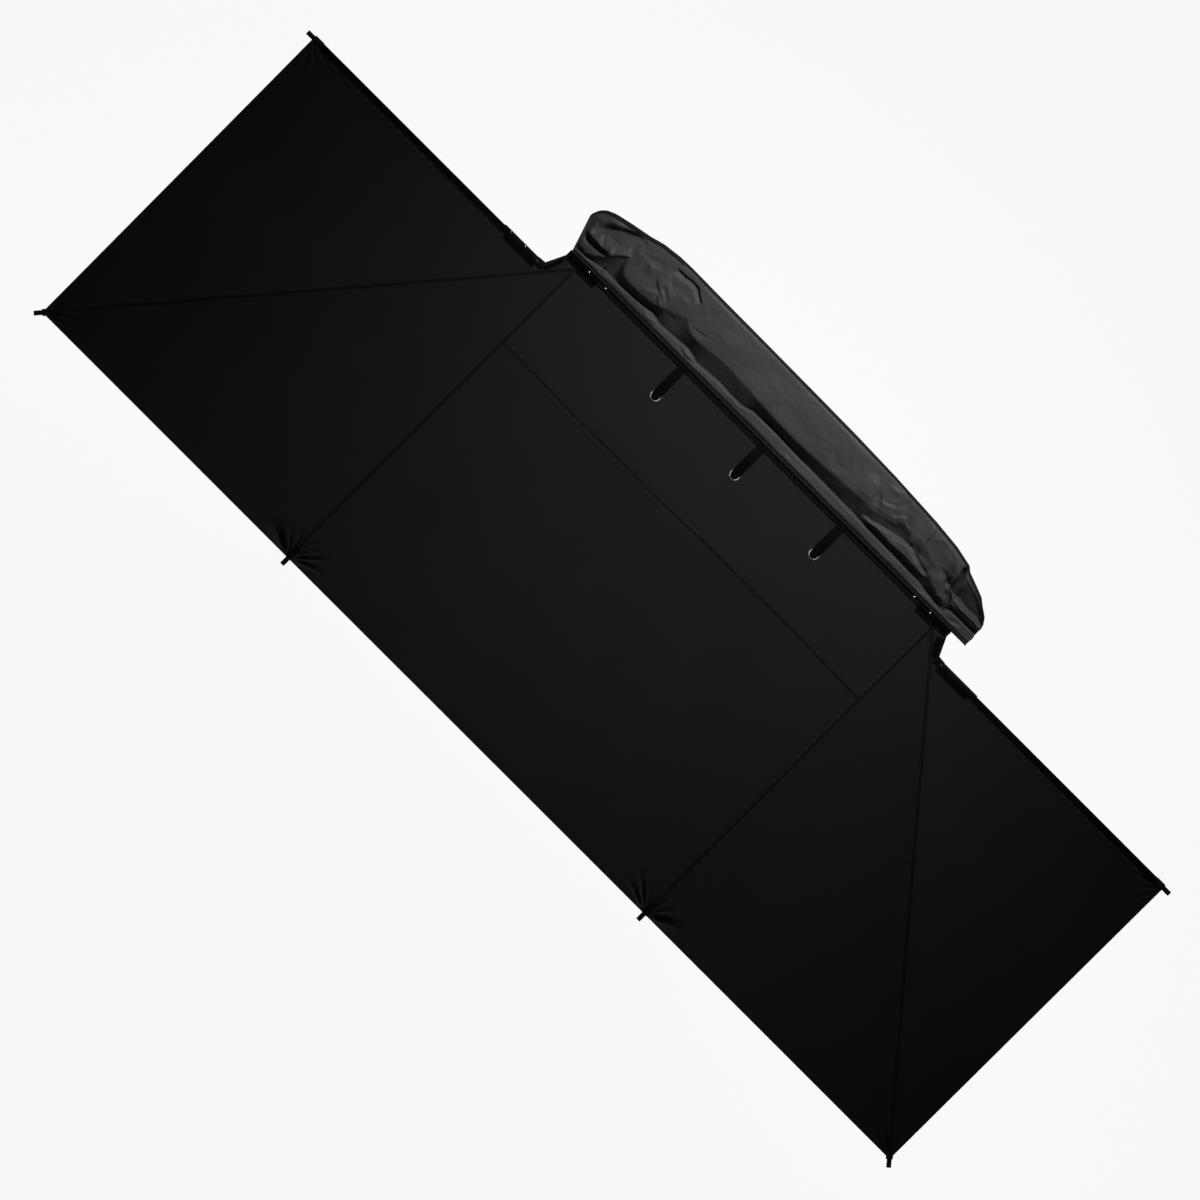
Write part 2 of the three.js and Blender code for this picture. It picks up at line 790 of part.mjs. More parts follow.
function addZip() {
  const zipY = beamInboard + bagHingeOut - zipOut;
  const zipTop = bagRest - clearance;
  const sliderTop = zipTop - zipThickness - clearance;
  const tape = block([-zipLength / 2, zipLength / 2], [-zipWidth / 2, zipWidth / 2],
    [zipTop - zipThickness, zipTop]);
  const slider = block([-sliderLength / 2, sliderLength / 2], [-sliderWidth / 2, sliderWidth / 2],
    [sliderTop - sliderThickness, sliderTop]);
  const sliderX = zipMiddle + zipLength / 2 - sliderLength / 2 - sliderEndGap;
  addPiece(awning, "bag_zip", tape, zipTape).position.set(zipMiddle, zipY, 0);
  addPiece(awning, "zip_slider", slider, steel).position.set(sliderX, zipY, 0);
}

addBeam();
addBeamScrews();
addWelts();
addRackMounts();
armSets.forEach(addArmSet);
addCentrePanel();
armSets.forEach(addSidePanels);
addStraps();
addBag();
addZip();

export default awning;
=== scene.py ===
import json
import math

import bmesh
import bpy
import numpy as np
from mathutils import Matrix, Vector


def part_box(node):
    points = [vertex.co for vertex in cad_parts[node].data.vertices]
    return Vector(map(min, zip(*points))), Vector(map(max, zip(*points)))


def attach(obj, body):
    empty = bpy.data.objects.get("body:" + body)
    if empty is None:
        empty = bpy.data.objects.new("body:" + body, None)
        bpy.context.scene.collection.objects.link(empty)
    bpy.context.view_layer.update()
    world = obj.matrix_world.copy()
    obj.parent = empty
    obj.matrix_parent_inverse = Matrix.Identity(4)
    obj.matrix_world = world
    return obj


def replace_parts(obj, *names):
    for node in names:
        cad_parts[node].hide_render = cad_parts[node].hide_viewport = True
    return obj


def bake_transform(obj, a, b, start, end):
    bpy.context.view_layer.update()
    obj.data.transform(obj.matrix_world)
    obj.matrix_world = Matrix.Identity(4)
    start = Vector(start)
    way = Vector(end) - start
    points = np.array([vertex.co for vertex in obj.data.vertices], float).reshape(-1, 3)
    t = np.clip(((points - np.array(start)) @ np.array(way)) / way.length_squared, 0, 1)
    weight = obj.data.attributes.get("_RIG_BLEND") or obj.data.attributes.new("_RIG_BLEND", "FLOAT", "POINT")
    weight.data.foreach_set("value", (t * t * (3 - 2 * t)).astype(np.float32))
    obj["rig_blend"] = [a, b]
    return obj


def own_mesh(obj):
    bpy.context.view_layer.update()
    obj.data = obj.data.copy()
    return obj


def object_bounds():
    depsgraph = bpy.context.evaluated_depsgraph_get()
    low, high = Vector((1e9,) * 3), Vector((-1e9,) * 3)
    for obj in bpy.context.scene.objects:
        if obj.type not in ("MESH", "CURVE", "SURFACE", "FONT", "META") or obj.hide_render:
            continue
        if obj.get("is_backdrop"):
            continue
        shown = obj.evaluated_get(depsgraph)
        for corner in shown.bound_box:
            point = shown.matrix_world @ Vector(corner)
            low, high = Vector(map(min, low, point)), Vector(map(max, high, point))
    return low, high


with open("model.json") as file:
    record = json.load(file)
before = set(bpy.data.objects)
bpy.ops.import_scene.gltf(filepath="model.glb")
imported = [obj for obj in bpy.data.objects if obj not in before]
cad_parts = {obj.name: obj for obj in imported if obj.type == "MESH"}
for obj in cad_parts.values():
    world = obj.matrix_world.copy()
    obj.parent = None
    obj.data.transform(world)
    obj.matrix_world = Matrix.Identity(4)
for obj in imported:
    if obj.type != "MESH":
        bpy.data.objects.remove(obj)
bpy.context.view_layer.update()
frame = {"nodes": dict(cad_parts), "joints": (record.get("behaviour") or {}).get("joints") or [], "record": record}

# Back beam: a hollow aluminium extrusion, sawn to length and anodised black. Its die lines run
# along it, and the saw and the die leave edges broken by half a millimetre.
record = frame["record"]
joints = {joint["name"]: joint for joint in frame["joints"]}
body_of_node = {}
for body, members in record["behaviour"]["bodies"].items():
    body_of_node.update({node: body for node in members})


def linear(code):
    """Linear colour of an sRGB hex code."""
    shares = [int(code[place:place + 2], 16) / 255 for place in (1, 3, 5)]
    return [c / 12.92 if c <= 0.04045 else ((c + 0.055) / 1.055) ** 2.4 for c in shares] + [1]


def add(tree, kind, settings=None, links=None):
    """Adds one node with its settings, by property or input, and the sockets that feed it."""
    node = tree.nodes.new(kind)
    for name, value in (settings or {}).items():
        if isinstance(name, int) or name in node.inputs:
            node.inputs[name].default_value = value
        else:
            setattr(node, name, value)
    for name, source in (links or {}).items():
        tree.links.new(source, node.inputs[name])
    return node


def measured(tree, coordinates, size, heading=0.0):
    """A material's coordinates, in steps of this size in metres, turned to a heading."""
    place = add(tree, "ShaderNodeTexCoord")
    sized = add(tree, "ShaderNodeMapping",
                {"vector_type": "TEXTURE", "Rotation": (0, 0, math.radians(heading)),
                 "Scale": size},
                {"Vector": place.outputs[coordinates]})
    return sized.outputs[0]


def grained(name, colours, grain, roughness, relief, metallic=0.0, specular=0.5, heading=0.0,
            coordinates="Object"):
    """Material whose grain, sized in metres, shifts its colour, roughness and height."""
    material = bpy.data.materials.new(name)
    material.use_nodes = True
    tree = material.node_tree
    shader = tree.nodes["Principled BSDF"]
    shader.inputs["Metallic"].default_value = metallic
    shader.inputs["Specular IOR Level"].default_value = specular
    noise = add(tree, "ShaderNodeTexNoise", {"Scale": 1.0, "Detail": 3.0, "Roughness": 0.55},
                {"Vector": measured(tree, coordinates, grain, heading)})
    colour = add(tree, "ShaderNodeMix",
                 {"data_type": "RGBA", 6: linear(colours[0]), 7: linear(colours[1])},
                 {0: noise.outputs[0]})
    gloss = add(tree, "ShaderNodeMapRange", {"To Min": roughness[0], "To Max": roughness[1]},
                {"Value": noise.outputs[0]})
    tree.links.new(colour.outputs[2], shader.inputs["Base Color"])
    tree.links.new(gloss.outputs[0], shader.inputs["Roughness"])
    if relief:
        height = add(tree, "ShaderNodeBump", {"Distance": relief}, {"Height": noise.outputs[0]})
        tree.links.new(height.outputs[0], shader.inputs["Normal"])
    return material


def linked(name, data):
    """Object of this name that shows this data."""
    made = bpy.data.objects.new(name, data)
    bpy.context.scene.collection.objects.link(made)
    return made


def mesh_of(name, vertices, faces, edges=()):
    """Mesh with these points, faces and loose edges."""
    mesh = bpy.data.meshes.new(name)
    mesh.from_pydata(vertices, edges, faces)
    return mesh


def settled(piece):
    """Gives a piece the mesh that its modifiers make, and removes them."""
    graph = bpy.context.evaluated_depsgraph_get()
    mesh = bpy.data.meshes.new_from_object(piece.evaluated_get(graph))
    piece.modifiers.clear()
    piece.data = mesh
    return mesh


def placed(name, mesh, material, body, smooth=35):
    """Links a mesh as a piece that rides on a body, or on none where it is blended later."""
    piece = linked(name, mesh)
    if mesh.materials:
        mesh.materials[0] = material
    else:
        mesh.materials.append(material)
    mesh.shade_smooth()
    mesh.set_sharp_from_angle(angle=math.radians(smooth))
    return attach(piece, body) if body else piece


def finished(node, material, edge, smooth=35):
    """Copy of a CAD node with merged faces and rounded edges, which stands for it."""
    work = bmesh.new()
    work.from_mesh(frame["nodes"][node].data)
    bmesh.ops.remove_doubles(work, verts=work.verts, dist=2e-6)
    bmesh.ops.dissolve_limit(work, angle_limit=math.radians(0.5), verts=work.verts,
                             edges=work.edges)
    mesh = bpy.data.meshes.new(node + "_finished")
    work.to_mesh(mesh)
    work.free()
    for spare in [a.name for a in mesh.attributes if a.name in ("custom_normal", "UVMap")]:
        mesh.attributes.remove(mesh.attributes[spare])
    piece = linked(node + "_finished", mesh)
    bevel = piece.modifiers.new("rounded edges", "BEVEL")
    bevel.width = edge
    bevel.segments = 2
    bevel.angle_limit = math.radians(30)
    bevel.use_clamp_overlap = False
    shape = settled(piece)
    bpy.data.objects.remove(piece)
    made = placed(node + "_finished", shape, material, body_of_node[node],
                  smooth)
    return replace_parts(made, node)


beam_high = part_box("back_beam")[1]
face = beam_high.y
beam_top = beam_high.z
half_beam = beam_high.x
# black anodised aluminium, extruded: satin, with fine bright and dull streaks along it
anodised_along_beam = grained("black anodised aluminium, extruded", ("#020202", "#080808"),
                              (0.5, 0.0016, 0.0016), (0.34, 0.5), 0.00004, metallic=0.4,
                              specular=0.1)
finished("back_beam", anodised_along_beam, 0.0005)


# Screws through the beam's roof into the knuckles: turned stainless steel pan heads with a hex
# drive, driven down until the head sits on the beam.
def middle_of(node):
    """Middle of a CAD node's box."""
    return [(least + most) / 2 for least, most in zip(*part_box(node))]


def grid_faces(rows, columns, rings=False, looped=False):
    """Faces over rows of points; the rows may be rings, and the last may join the first."""
    return [(row * columns + side, row * columns + (side + 1) % columns,
             (row + 1) % rows * columns + (side + 1) % columns, (row + 1) % rows * columns + side)
            for row in range(rows if looped else rows - 1)
            for side in range(columns if rings else columns - 1)]


def closed_tube(name, vertices, rows, columns):
    """Closed mesh over rings of points, each counterclockwise as seen from the last one."""
    faces = grid_faces(rows, columns, rings=True)
    faces += [tuple(reversed(range(columns))), tuple(range((rows - 1) * columns, rows * columns))]
    return mesh_of(name, vertices, faces)


def turned(profile, sides=36, hexes=()):
    """Mesh of a turned shape: rings of (radius, height), some of them six-sided, capped."""
    angles = np.arange(sides) * 2 * math.pi / sides
    six_sided = 1 / np.cos(np.mod(angles, math.pi / 3) - math.pi / 6)
    vertices = []
    for index, (radius, height) in enumerate(profile):
        reach = radius * (six_sided if index in hexes else np.ones(sides))
        ring = np.stack([reach * np.cos(angles), reach * np.sin(angles), np.full(sides, height)])
        vertices.extend(ring.T.tolist())
    return closed_tube("turned", vertices, len(profile), sides)


def hex_head(radius, height, dome, drive, depth):
    """Profile of a domed head with a hex socket, from its underside at height 0."""
    return [(radius * 0.94, 0), (radius, height * 0.12), (radius, height * 0.45),
            (radius * 0.88, height * 0.8 + dome * 0.2), (radius * 0.62, height + dome * 0.8),
            (drive * 1.22, height + dome), (drive, height + dome * 0.85),
            (drive, height + dome - depth), (drive * 0.4, height + dome - depth * 1.25)]


# stainless steel, turned: bright, with fine rings from the tool
stainless = grained("stainless steel, turned", ("#b4b6b9", "#d2d4d6"), (0.0009, 0.0009, 0.0009),
                    (0.2, 0.34), 0.00001, metallic=1.0)
for end in ("front", "rear"):
    for count in (1, 2):
        node = f"{end}_beam_screw_{count}"
        low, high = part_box(node)
        radius = (high.x - low.x) / 2
        dome = 0.0006
        drive_depth = 0.0014
        shank = [(radius * 0.3, low.z - beam_top), (radius * 0.5, low.z - beam_top + 0.002),
                 (radius * 0.5, -0.0001)]
        head = hex_head(radius, high.z - beam_top - dome, dome, radius * 0.42, drive_depth)
        mesh = turned(shank + head, hexes=(9, 10, 11))
        mesh.transform(Matrix.Translation((*middle_of(node)[:2], beam_top)))
        screw = placed(f"{end}_pan_screw_{count}", mesh, stainless, "frame")
        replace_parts(screw, node)


# Welts: cords wrapped in cloth, sewn along the canopy's and the bag's edges and slid into the
# beam's two grooves, which grip them.
def cord_in_groove(node, name, rings=260, sides=14):
    """Slightly uneven round cord in the space of a welt's node."""
    low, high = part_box(node)
    places = np.linspace(low.x, high.x, rings)
    radius = (high.z - low.z) / 2 - 0.0002
    middle_y, middle_z = middle_of(node)[1:]
    angles = np.arange(sides) * 2 * math.pi / sides
    uneven = radius - 0.00015 + 0.00015 * np.sin(places * 210) * np.sin(places * 57)
    vertices = [(x, middle_y + r * math.cos(a), middle_z + r * math.sin(a))
                for x, r in zip(places, uneven) for a in angles]
    mesh = closed_tube(name, vertices, rings, sides)
    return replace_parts(placed(name, mesh, welt_cloth, "frame"), node)


# black cotton cloth sewn round a cord: dull, with the twist of the cord showing through
welt_cloth = grained("black cloth, sewn round cord", ("#0b0b0b", "#161617"),
                     (0.004, 0.0009, 0.0009), (0.8, 0.95), 0.0002, specular=0.2)
cord_in_groove("canopy_welt", "canopy_welt_cord")
cord_in_groove("bag_welt", "bag_welt_cord")

# Rack brackets: steel plate, punched, folded once and powder coated black. An M8 bolt with its
# head in the beam's slot and a nut holds each to the beam.

# powder coated steel: even satin black with a faint orange peel
powder_coat = grained("black powder coat on steel", ("#060606", "#0a0a0b"),
                      (0.0022, 0.0022, 0.0022), (0.5, 0.62), 0.00006, specular=0.12)


def bolt_with_thread(node, name):
    """Hex-headed bolt along Y, its thread drawn as close rings on the free end."""
    low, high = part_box(node)
    flats = (high.x - low.x) / 2
    head = 0.0053
    shank = 0.0039
    pitch = 0.00125
    length = high.y - low.y - head
    rings = [(shank * 0.82, 0.0), (shank, 0.0008)]
    for turn in range(14):
        rings += [(shank, 0.001 + turn * pitch), (shank * 0.87, 0.0016 + turn * pitch)]
    rings += [(shank, length - 0.0001), (flats * 0.95, length), (flats, length + 0.0004),
              (flats, length + head - 0.0006), (flats * 0.9, length + head)]
    mesh = turned(rings, hexes=(len(rings) - 3, len(rings) - 2))
    middle_x, _, middle_z = middle_of(node)
    mesh.transform(Matrix.Rotation(-math.pi / 2, 4, "X"))
    mesh.transform(Matrix.Translation((middle_x, low.y, middle_z)))
    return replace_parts(placed(name, mesh, stainless, "frame"), node)


for place in ("front", "middle", "rear"):
    finished(f"rack_bracket_{place}", powder_coat, 0.0012)
    bolt_with_thread(f"mount_bolt_{place}", f"m8_bolt_{place}")
    finished(f"mount_nut_{place}", stainless, 0.0004)

# Knuckles: aluminium castings screwed into the beam's ends, with a bearing plate on top, all
# powder coated black. Each carries three arms on turned countersunk pivot bolts.

# cast aluminium under powder coat: rounder edges and a coarser skin than the plates
cast_coat = grained("black powder coat on cast aluminium", ("#040404", "#080808"),
                    (0.0034, 0.0034, 0.0034), (0.55, 0.68), 0.00012, specular=0.1)
arm_tilt = math.asin(joints["front_cross_fold"]["axis"][1])
lean = Matrix.Rotation(-arm_tilt, 4, "X")
pivot_profile = [(0.0042, -0.0285), (0.005, -0.0277), (0.005, 0.0212), (0.0084, 0.0247),
                 (0.0082, 0.0249), (0.0036, 0.025), (0.0033, 0.0247), (0.0033, 0.0222),
                 (0.0012, 0.0216)]
for end in ("front", "rear"):
    finished(f"{end}_knuckle", cast_coat, 0.0014)
    finished(f"{end}_knuckle_plate", powder_coat, 0.0008)
    for kind in ("cross", "corner", "wing"):
        pivot = Vector(joints[f"{end}_{kind}_fold"]["pos_m"])
        mesh = turned(pivot_profile, hexes=(5, 6, 7))
        mesh.transform(Matrix.Translation(pivot) @ lean)
        bolt = placed(f"{end}_{kind}_pivot_bolt", mesh, stainless, "frame")
        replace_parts(bolt, f"{end}_{kind}_pivot")

# Arms: square-edged black anodised tubes, pressed into cast sockets and riveted there. A moulded
# nylon end plugs the outer end of each and holds the canopy's corner.

# glass-filled nylon, moulded: dull black with a fine spark-eroded texture
nylon = grained("black nylon, moulded", ("#0a0a0a", "#101010"), (0.0012, 0.0012, 0.0012),
                (0.5, 0.64), 0.00008, specular=0.2)


def new_tree(name, numbers):
    """Geometry Nodes tree that takes a geometry and some named numbers."""
    tree = bpy.data.node_groups.new(name, "GeometryNodeTree")
    tree.interface.new_socket("Geometry", in_out="INPUT", socket_type="NodeSocketGeometry")
    for number in numbers:
        tree.interface.new_socket(number, in_out="INPUT", socket_type="NodeSocketFloat")
    tree.interface.new_socket("Geometry", in_out="OUTPUT", socket_type="NodeSocketGeometry")
    return tree


def end_tree(tree, instances, material):
    """Ends a tree: its instances made real, in their material."""
    real = add(tree, "GeometryNodeRealizeInstances", {}, {"Geometry": instances.outputs[0]})
    coloured = add(tree, "GeometryNodeSetMaterial", {"Material": material},
                   {"Geometry": real.outputs[0]})
    add(tree, "NodeGroupOutput", {}, {"Geometry": coloured.outputs[0]})
    return tree


def riveted(material):
    """Tree that sets a domed rivet on each point of a mesh."""
    tree = new_tree("rivets on points", ["Radius"])
    given = add(tree, "NodeGroupInput")
    dome = add(tree, "GeometryNodeMeshUVSphere", {"Segments": 20, "Rings": 10, "Radius": 1.0})
    flat = add(tree, "GeometryNodeTransform", {"Scale": (1, 1, 0.45)},
               {"Geometry": dome.outputs["Mesh"]})
    set_on = add(tree, "GeometryNodeInstanceOnPoints", {},
                 {"Points": given.outputs["Geometry"], "Instance": flat.outputs[0],
                  "Scale": given.outputs["Radius"]})
    return end_tree(tree, set_on, material)


def grown(tree, points, edges, values):
    """Mesh that a tree makes from points and edges, with its numbers set by their identifiers."""
    piece = linked(tree.name, mesh_of(tree.name, points, [], edges))
    modifier = piece.modifiers.new(tree.name, "NODES")
    modifier.node_group = tree
    for item in tree.interface.items_tree:
        if item.item_type == "SOCKET" and item.in_out == "INPUT" and item.name in values:
            modifier[item.identifier] = values[item.name]
    shape = settled(piece)
    bpy.data.objects.remove(piece)
    return shape


rivet_tree = riveted(stainless)
rivet_radius = 0.0034
# the cloth's height over the pivots of the arms
cloth_rise = 0.0253
for end in ("front", "rear"):
    for kind in ("cross", "corner", "wing"):
        node = f"{end}_{kind}"
        pivot = Vector(joints[f"{node}_fold"]["pos_m"])
        run = Vector(middle_of(f"{node}_tube"))
        heading = math.atan2(run.y - pivot.y, run.x - pivot.x)
        # black anodised aluminium, extruded: as the beam's, its streaks turned along the arm
        anodised = grained(f"black anodised aluminium, extruded {node}", ("#020202", "#080808"),
                           (0.5, 0.0016, 0.0016), (0.36, 0.5), 0.00004, metallic=0.4,
                           specular=0.1, heading=math.degrees(heading))
        finished(f"{node}_socket", cast_coat, 0.0014)
        finished(f"{node}_tube", anodised, 0.0009)
        finished(f"{node}_tip", nylon, 0.0016)
        flat_heading = math.atan2(math.sin(heading) / math.cos(arm_tilt), math.cos(heading))
        set_up = Matrix.Translation(pivot) @ lean @ Matrix.Rotation(flat_heading, 4, "Z")
        # two rivets on the socket's top, set to one side of its middle
        spots = [set_up @ Vector((along, -0.0105, 0.019)) for along in (0.081, 0.172)]
        rivets = grown(rivet_tree, spots, [], {"Radius": rivet_radius})
        placed(f"{node}_rivets", rivets, stainless, f"{node}_arm")


# Canopy: black woven canvas with a coated underside, cut in five panels that are sewn together
# along the arms. Its beam edge is held by the welt, its corners by the arms' ends. Between them
# it sags a little, and it is drawn into short creases at each corner.
cross_x = joints["front_cross_fold"]["pos_m"][0]
level_drop = joints["front_cross_fold"]["pos_m"][2] - joints["rear_cross_fold"]["pos_m"][2]
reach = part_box("canopy_front_corner")[1].y - face
wing_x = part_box("canopy_front_wing")[1].x
# how far out from the beam the panels' notches, the wings' inner hems and the long seam lie
notch_v = 0.02
hem_v = 0.116
strip_v = 0.48
# the cloth's middle over the beam, its thickness, and how deep the panels sag
cloth_middle = 0.0013
cloth_thickness = 0.0009
centre_sag = 0.024
side_sag = 0.016


def panel_slope(x):
    """Fall of the canopy per metre outward, steeper towards the rear."""
    share = np.clip((cross_x - x) / (2 * cross_x), 0, 1)
    return math.tan(arm_tilt) + share * share * (3 - 2 * share) * level_drop / reach


def wing_plane(side):
    """Coefficients of the plane through a wing's apex, outer corner and inner corner."""
    pivot_z = joints["front_wing_fold" if side > 0 else "rear_wing_fold"]["pos_m"][2]
    inner_z = pivot_z - 0.002 * math.tan(arm_tilt) + cloth_rise / math.cos(arm_tilt) + 0.001
    outer_z = beam_top + cloth_middle - reach * panel_slope(side * cross_x)
    apex_z = beam_top + cloth_middle - notch_v * panel_slope(side * cross_x)
    points = [(side * cross_x, notch_v, apex_z), (side * wing_x, reach, outer_z),
              (side * wing_x, hem_v, inner_z)]
    return np.linalg.solve([[x, v, 1] for x, v, z in points], [z for x, v, z in points])


wing_planes = {side: wing_plane(side) for side in (1, -1)}


def drawn_in(x, v, corner_x, corner_v, inward, lines):
    """Grooves that run from a held corner: angle from the arm, length, depth and half width."""
    side = math.copysign(1, corner_x)
    away = (v - corner_v) * inward
    across = (corner_x - x) * side
    total = np.zeros_like(x)
    for angle, length, depth, half in lines:
        turn = math.radians(angle)
        along = away * math.cos(turn) + across * math.sin(turn)
        off = across * math.cos(turn) - away * math.sin(turn) - 0.05 * along ** 2 / length
        fade = np.clip((along - 0.018) / 0.04, 0, 1)
        fade = fade * np.clip((length - along) / (0.6 * length), 0, 1)
        open_to = half * (0.6 + np.clip(along / length, 0, 1))
        total -= depth * fade * np.clip(1 - np.abs(off) / open_to, 0, 1)
    return total


# grooves at the cross arms' ends, at the wings' outer corners and at their inner ones
cross_grooves = [(47, 0.21, 0.014, 0.012), (28, 0.15, 0.01, 0.011), (66, 0.19, 0.012, 0.013),
                 (13, 0.17, 0.009, 0.01), (-17, 0.16, 0.01, 0.012), (-40, 0.15, 0.009, 0.012),
                 (-70, 0.2, 0.022, 0.03)]
wing_grooves = [(14, 0.16, 0.008, 0.01), (27, 0.19, 0.009, 0.011), (55, 0.19, 0.009, 0.011),
                (72, 0.16, 0.008, 0.01)]
hem_grooves = [(70, 0.16, 0.006, 0.01), (46, 0.15, 0.006, 0.01), (22, 0.16, 0.006, 0.01)]


def creases(x, v):
    """All creases of the canopy, against its drawn-out shape."""
    total = np.zeros_like(x)
    for side in (1, -1):
        total += drawn_in(x, v, side * cross_x, reach, -1, cross_grooves)
        total += drawn_in(x, v, side * wing_x, reach, -1, wing_grooves)
        total += drawn_in(x, v, side * wing_x, hem_v, 1, hem_grooves)
    return total


def edge_bubble(a, b, c):
    """Sag share over a triangle: most in its middle, none at its corners, a little on side ab."""
    return np.clip(27 * a * b * c, 0, 1) + 0.35 * np.clip(4 * a * b, 0, 1) * (1 - c) ** 2


def shares(x, v, points):
    """Shares of a triangle's three corners at each point."""
    (x1, v1), (x2, v2), (x3, v3) = points
    whole = (v2 - v3) * (x1 - x3) + (x3 - x2) * (v1 - v3)
    a = ((v2 - v3) * (x - x3) + (x3 - x2) * (v - v3)) / whole
    b = ((v3 - v1) * (x - x3) + (x1 - x3) * (v - v3)) / whole
    return np.clip(a, 0, 1), np.clip(b, 0, 1), np.clip(1 - a - b, 0, 1)


def centre_height(x, v):
    """Middle of the centre panel's cloth."""
    over = np.clip((cross_x - np.abs(x)) / cross_x, 0, 1)
    along = np.clip(v / reach, 0, 1)
    shape = 0.85 * np.sin(math.pi * along) + 0.3 * along ** 3
    sag = centre_sag * np.sin(over * math.pi / 2) * shape
    tuck = 0.0012 * np.exp(-(((v - strip_v) / 0.012) ** 2)) * np.clip(over * 8, 0, 1)
    return beam_top + cloth_middle - v * panel_slope(x) - sag - tuck + creases(x, v)


def corner_height(x, v):
    """Middle of a corner panel's cloth, on either side."""
    side = np.sign(x)
    triangle = [(cross_x, reach), (wing_x, reach), (cross_x, notch_v)]
    sag = side_sag * edge_bubble(*shares(np.abs(x), v, triangle))
    return beam_top + cloth_middle - v * panel_slope(side * cross_x) - sag + creases(x, v)


def wing_height(x, v):
    """Middle of a wing panel's cloth, on either side."""
    slope_x, slope_v, level = (np.where(np.array(x) > 0, ahead, behind)
                               for ahead, behind in zip(wing_planes[1], wing_planes[-1]))
    triangle = [(wing_x, hem_v), (wing_x, reach), (cross_x, notch_v)]
    sag = side_sag * edge_bubble(*shares(np.abs(x), v, triangle))
    return slope_x * x + slope_v * v + level - sag + creases(x, v)


def sides_of(outline):
    """Each side of an outline, as its two ends."""
    return zip(outline, outline[1:] + outline[:1])


def inside(x, v, outline):
    """Whether points lie inside an outline."""
    odd = np.zeros(len(x), bool)
    for (x1, v1), (x2, v2) in sides_of(outline):
        if v1 != v2:
            crossed = (v1 > v) != (v2 > v)
            odd ^= crossed & (x < x1 + (v - v1) * (x2 - x1) / (v2 - v1))
    return odd


def cut(work, start, end, faces):
    """Cuts faces of a flat mesh along the line through two places."""
    touched = set(faces)
    for piece in faces:
        touched.update(piece.edges)
        touched.update(piece.verts)
    bmesh.ops.bisect_plane(work, geom=list(touched), plane_co=(*start, 0),
                           plane_no=(end[1] - start[1], start[0] - end[0], 0), dist=1e-7)


def clear(work, faces, outline, within):
    """Deletes the faces within an outline, or those outside it."""
    middles = np.array([piece.calc_center_median() for piece in faces])
    gone = inside(middles[:, 0], middles[:, 1], outline) == within
    bmesh.ops.delete(work, geom=[piece for piece, out in zip(faces, gone) if out],
                     context="FACES")


def faces_near(work, place, span=0.05):
    """Faces of a flat mesh near a place."""
    return [piece for piece in work.faces
            if (piece.calc_center_median().xy - Vector(place)).length < span]


def lay_weave(mesh, places):
    """Maps the weave by each point's place across and along the cloth, in metres."""
    corners = np.zeros(len(mesh.loops), int)
    mesh.loops.foreach_get("vertex_index", corners)
    weave = mesh.uv_layers.new(name="weave")
    weave.data.foreach_set("uv", np.asarray(places)[corners, :2].ravel())


# radius of the round hole that is cut through the cloth for each eyelet
eyelet_hole = 0.0248


def woven_mesh(name, outline, height, holes=()):
    """Fine grid cut to an outline and round its eyelets, laid on the canopy's shape."""
    pitch = 0.0125
    low_x, low_v = np.min(outline, axis=0)
    high_x, high_v = np.max(outline, axis=0)
    columns = math.ceil((high_x - low_x) / pitch) + 1
    rows = math.ceil((high_v - low_v) / pitch) + 1
    points = [(x, v, 0) for v in np.linspace(low_v, high_v, rows)
              for x in np.linspace(low_x, high_x, columns)]
    mesh = mesh_of(name, points, grid_faces(rows, columns))
    work = bmesh.new()
    work.from_mesh(mesh)
    for start, end in sides_of(outline):
        cut(work, start, end, list(work.faces))
    clear(work, list(work.faces), outline, within=False)
    held = [Vector((side * far, at, 0)) for side in (1, -1)
            for far, at in ((cross_x, reach), (wing_x, reach), (wing_x, hem_v))]
    # the grid is finer round the corners that hold the cloth, where it creases
    for span in (0.24, 0.17):
        fine = [edge for edge in work.edges
                if any(max((corner.co - tip).length for corner in edge.verts) < span
                       for tip in held)]
        bmesh.ops.subdivide_edges(work, edges=fine, cuts=1, use_grid_fill=True)
    for hole in holes:
        ring = [(hole[0] + eyelet_hole * math.cos(step * math.pi / 12),
                 hole[1] + eyelet_hole * math.sin(step * math.pi / 12)) for step in range(24)]
        for start, end in sides_of(ring):
            cut(work, start, end, faces_near(work, hole))
        clear(work, faces_near(work, hole), ring, within=True)
    work.to_mesh(mesh)
    work.free()
    flat = np.zeros(len(mesh.vertices) * 3)
    mesh.vertices.foreach_get("co", flat)
    flat = flat.reshape(-1, 3)
    lay_weave(mesh, flat)
    lifted = np.stack([flat[:, 0], flat[:, 1] + face, height(flat[:, 0], flat[:, 1])], axis=1)
    mesh.vertices.foreach_set("co", lifted.ravel())
    mesh.update()
    return mesh


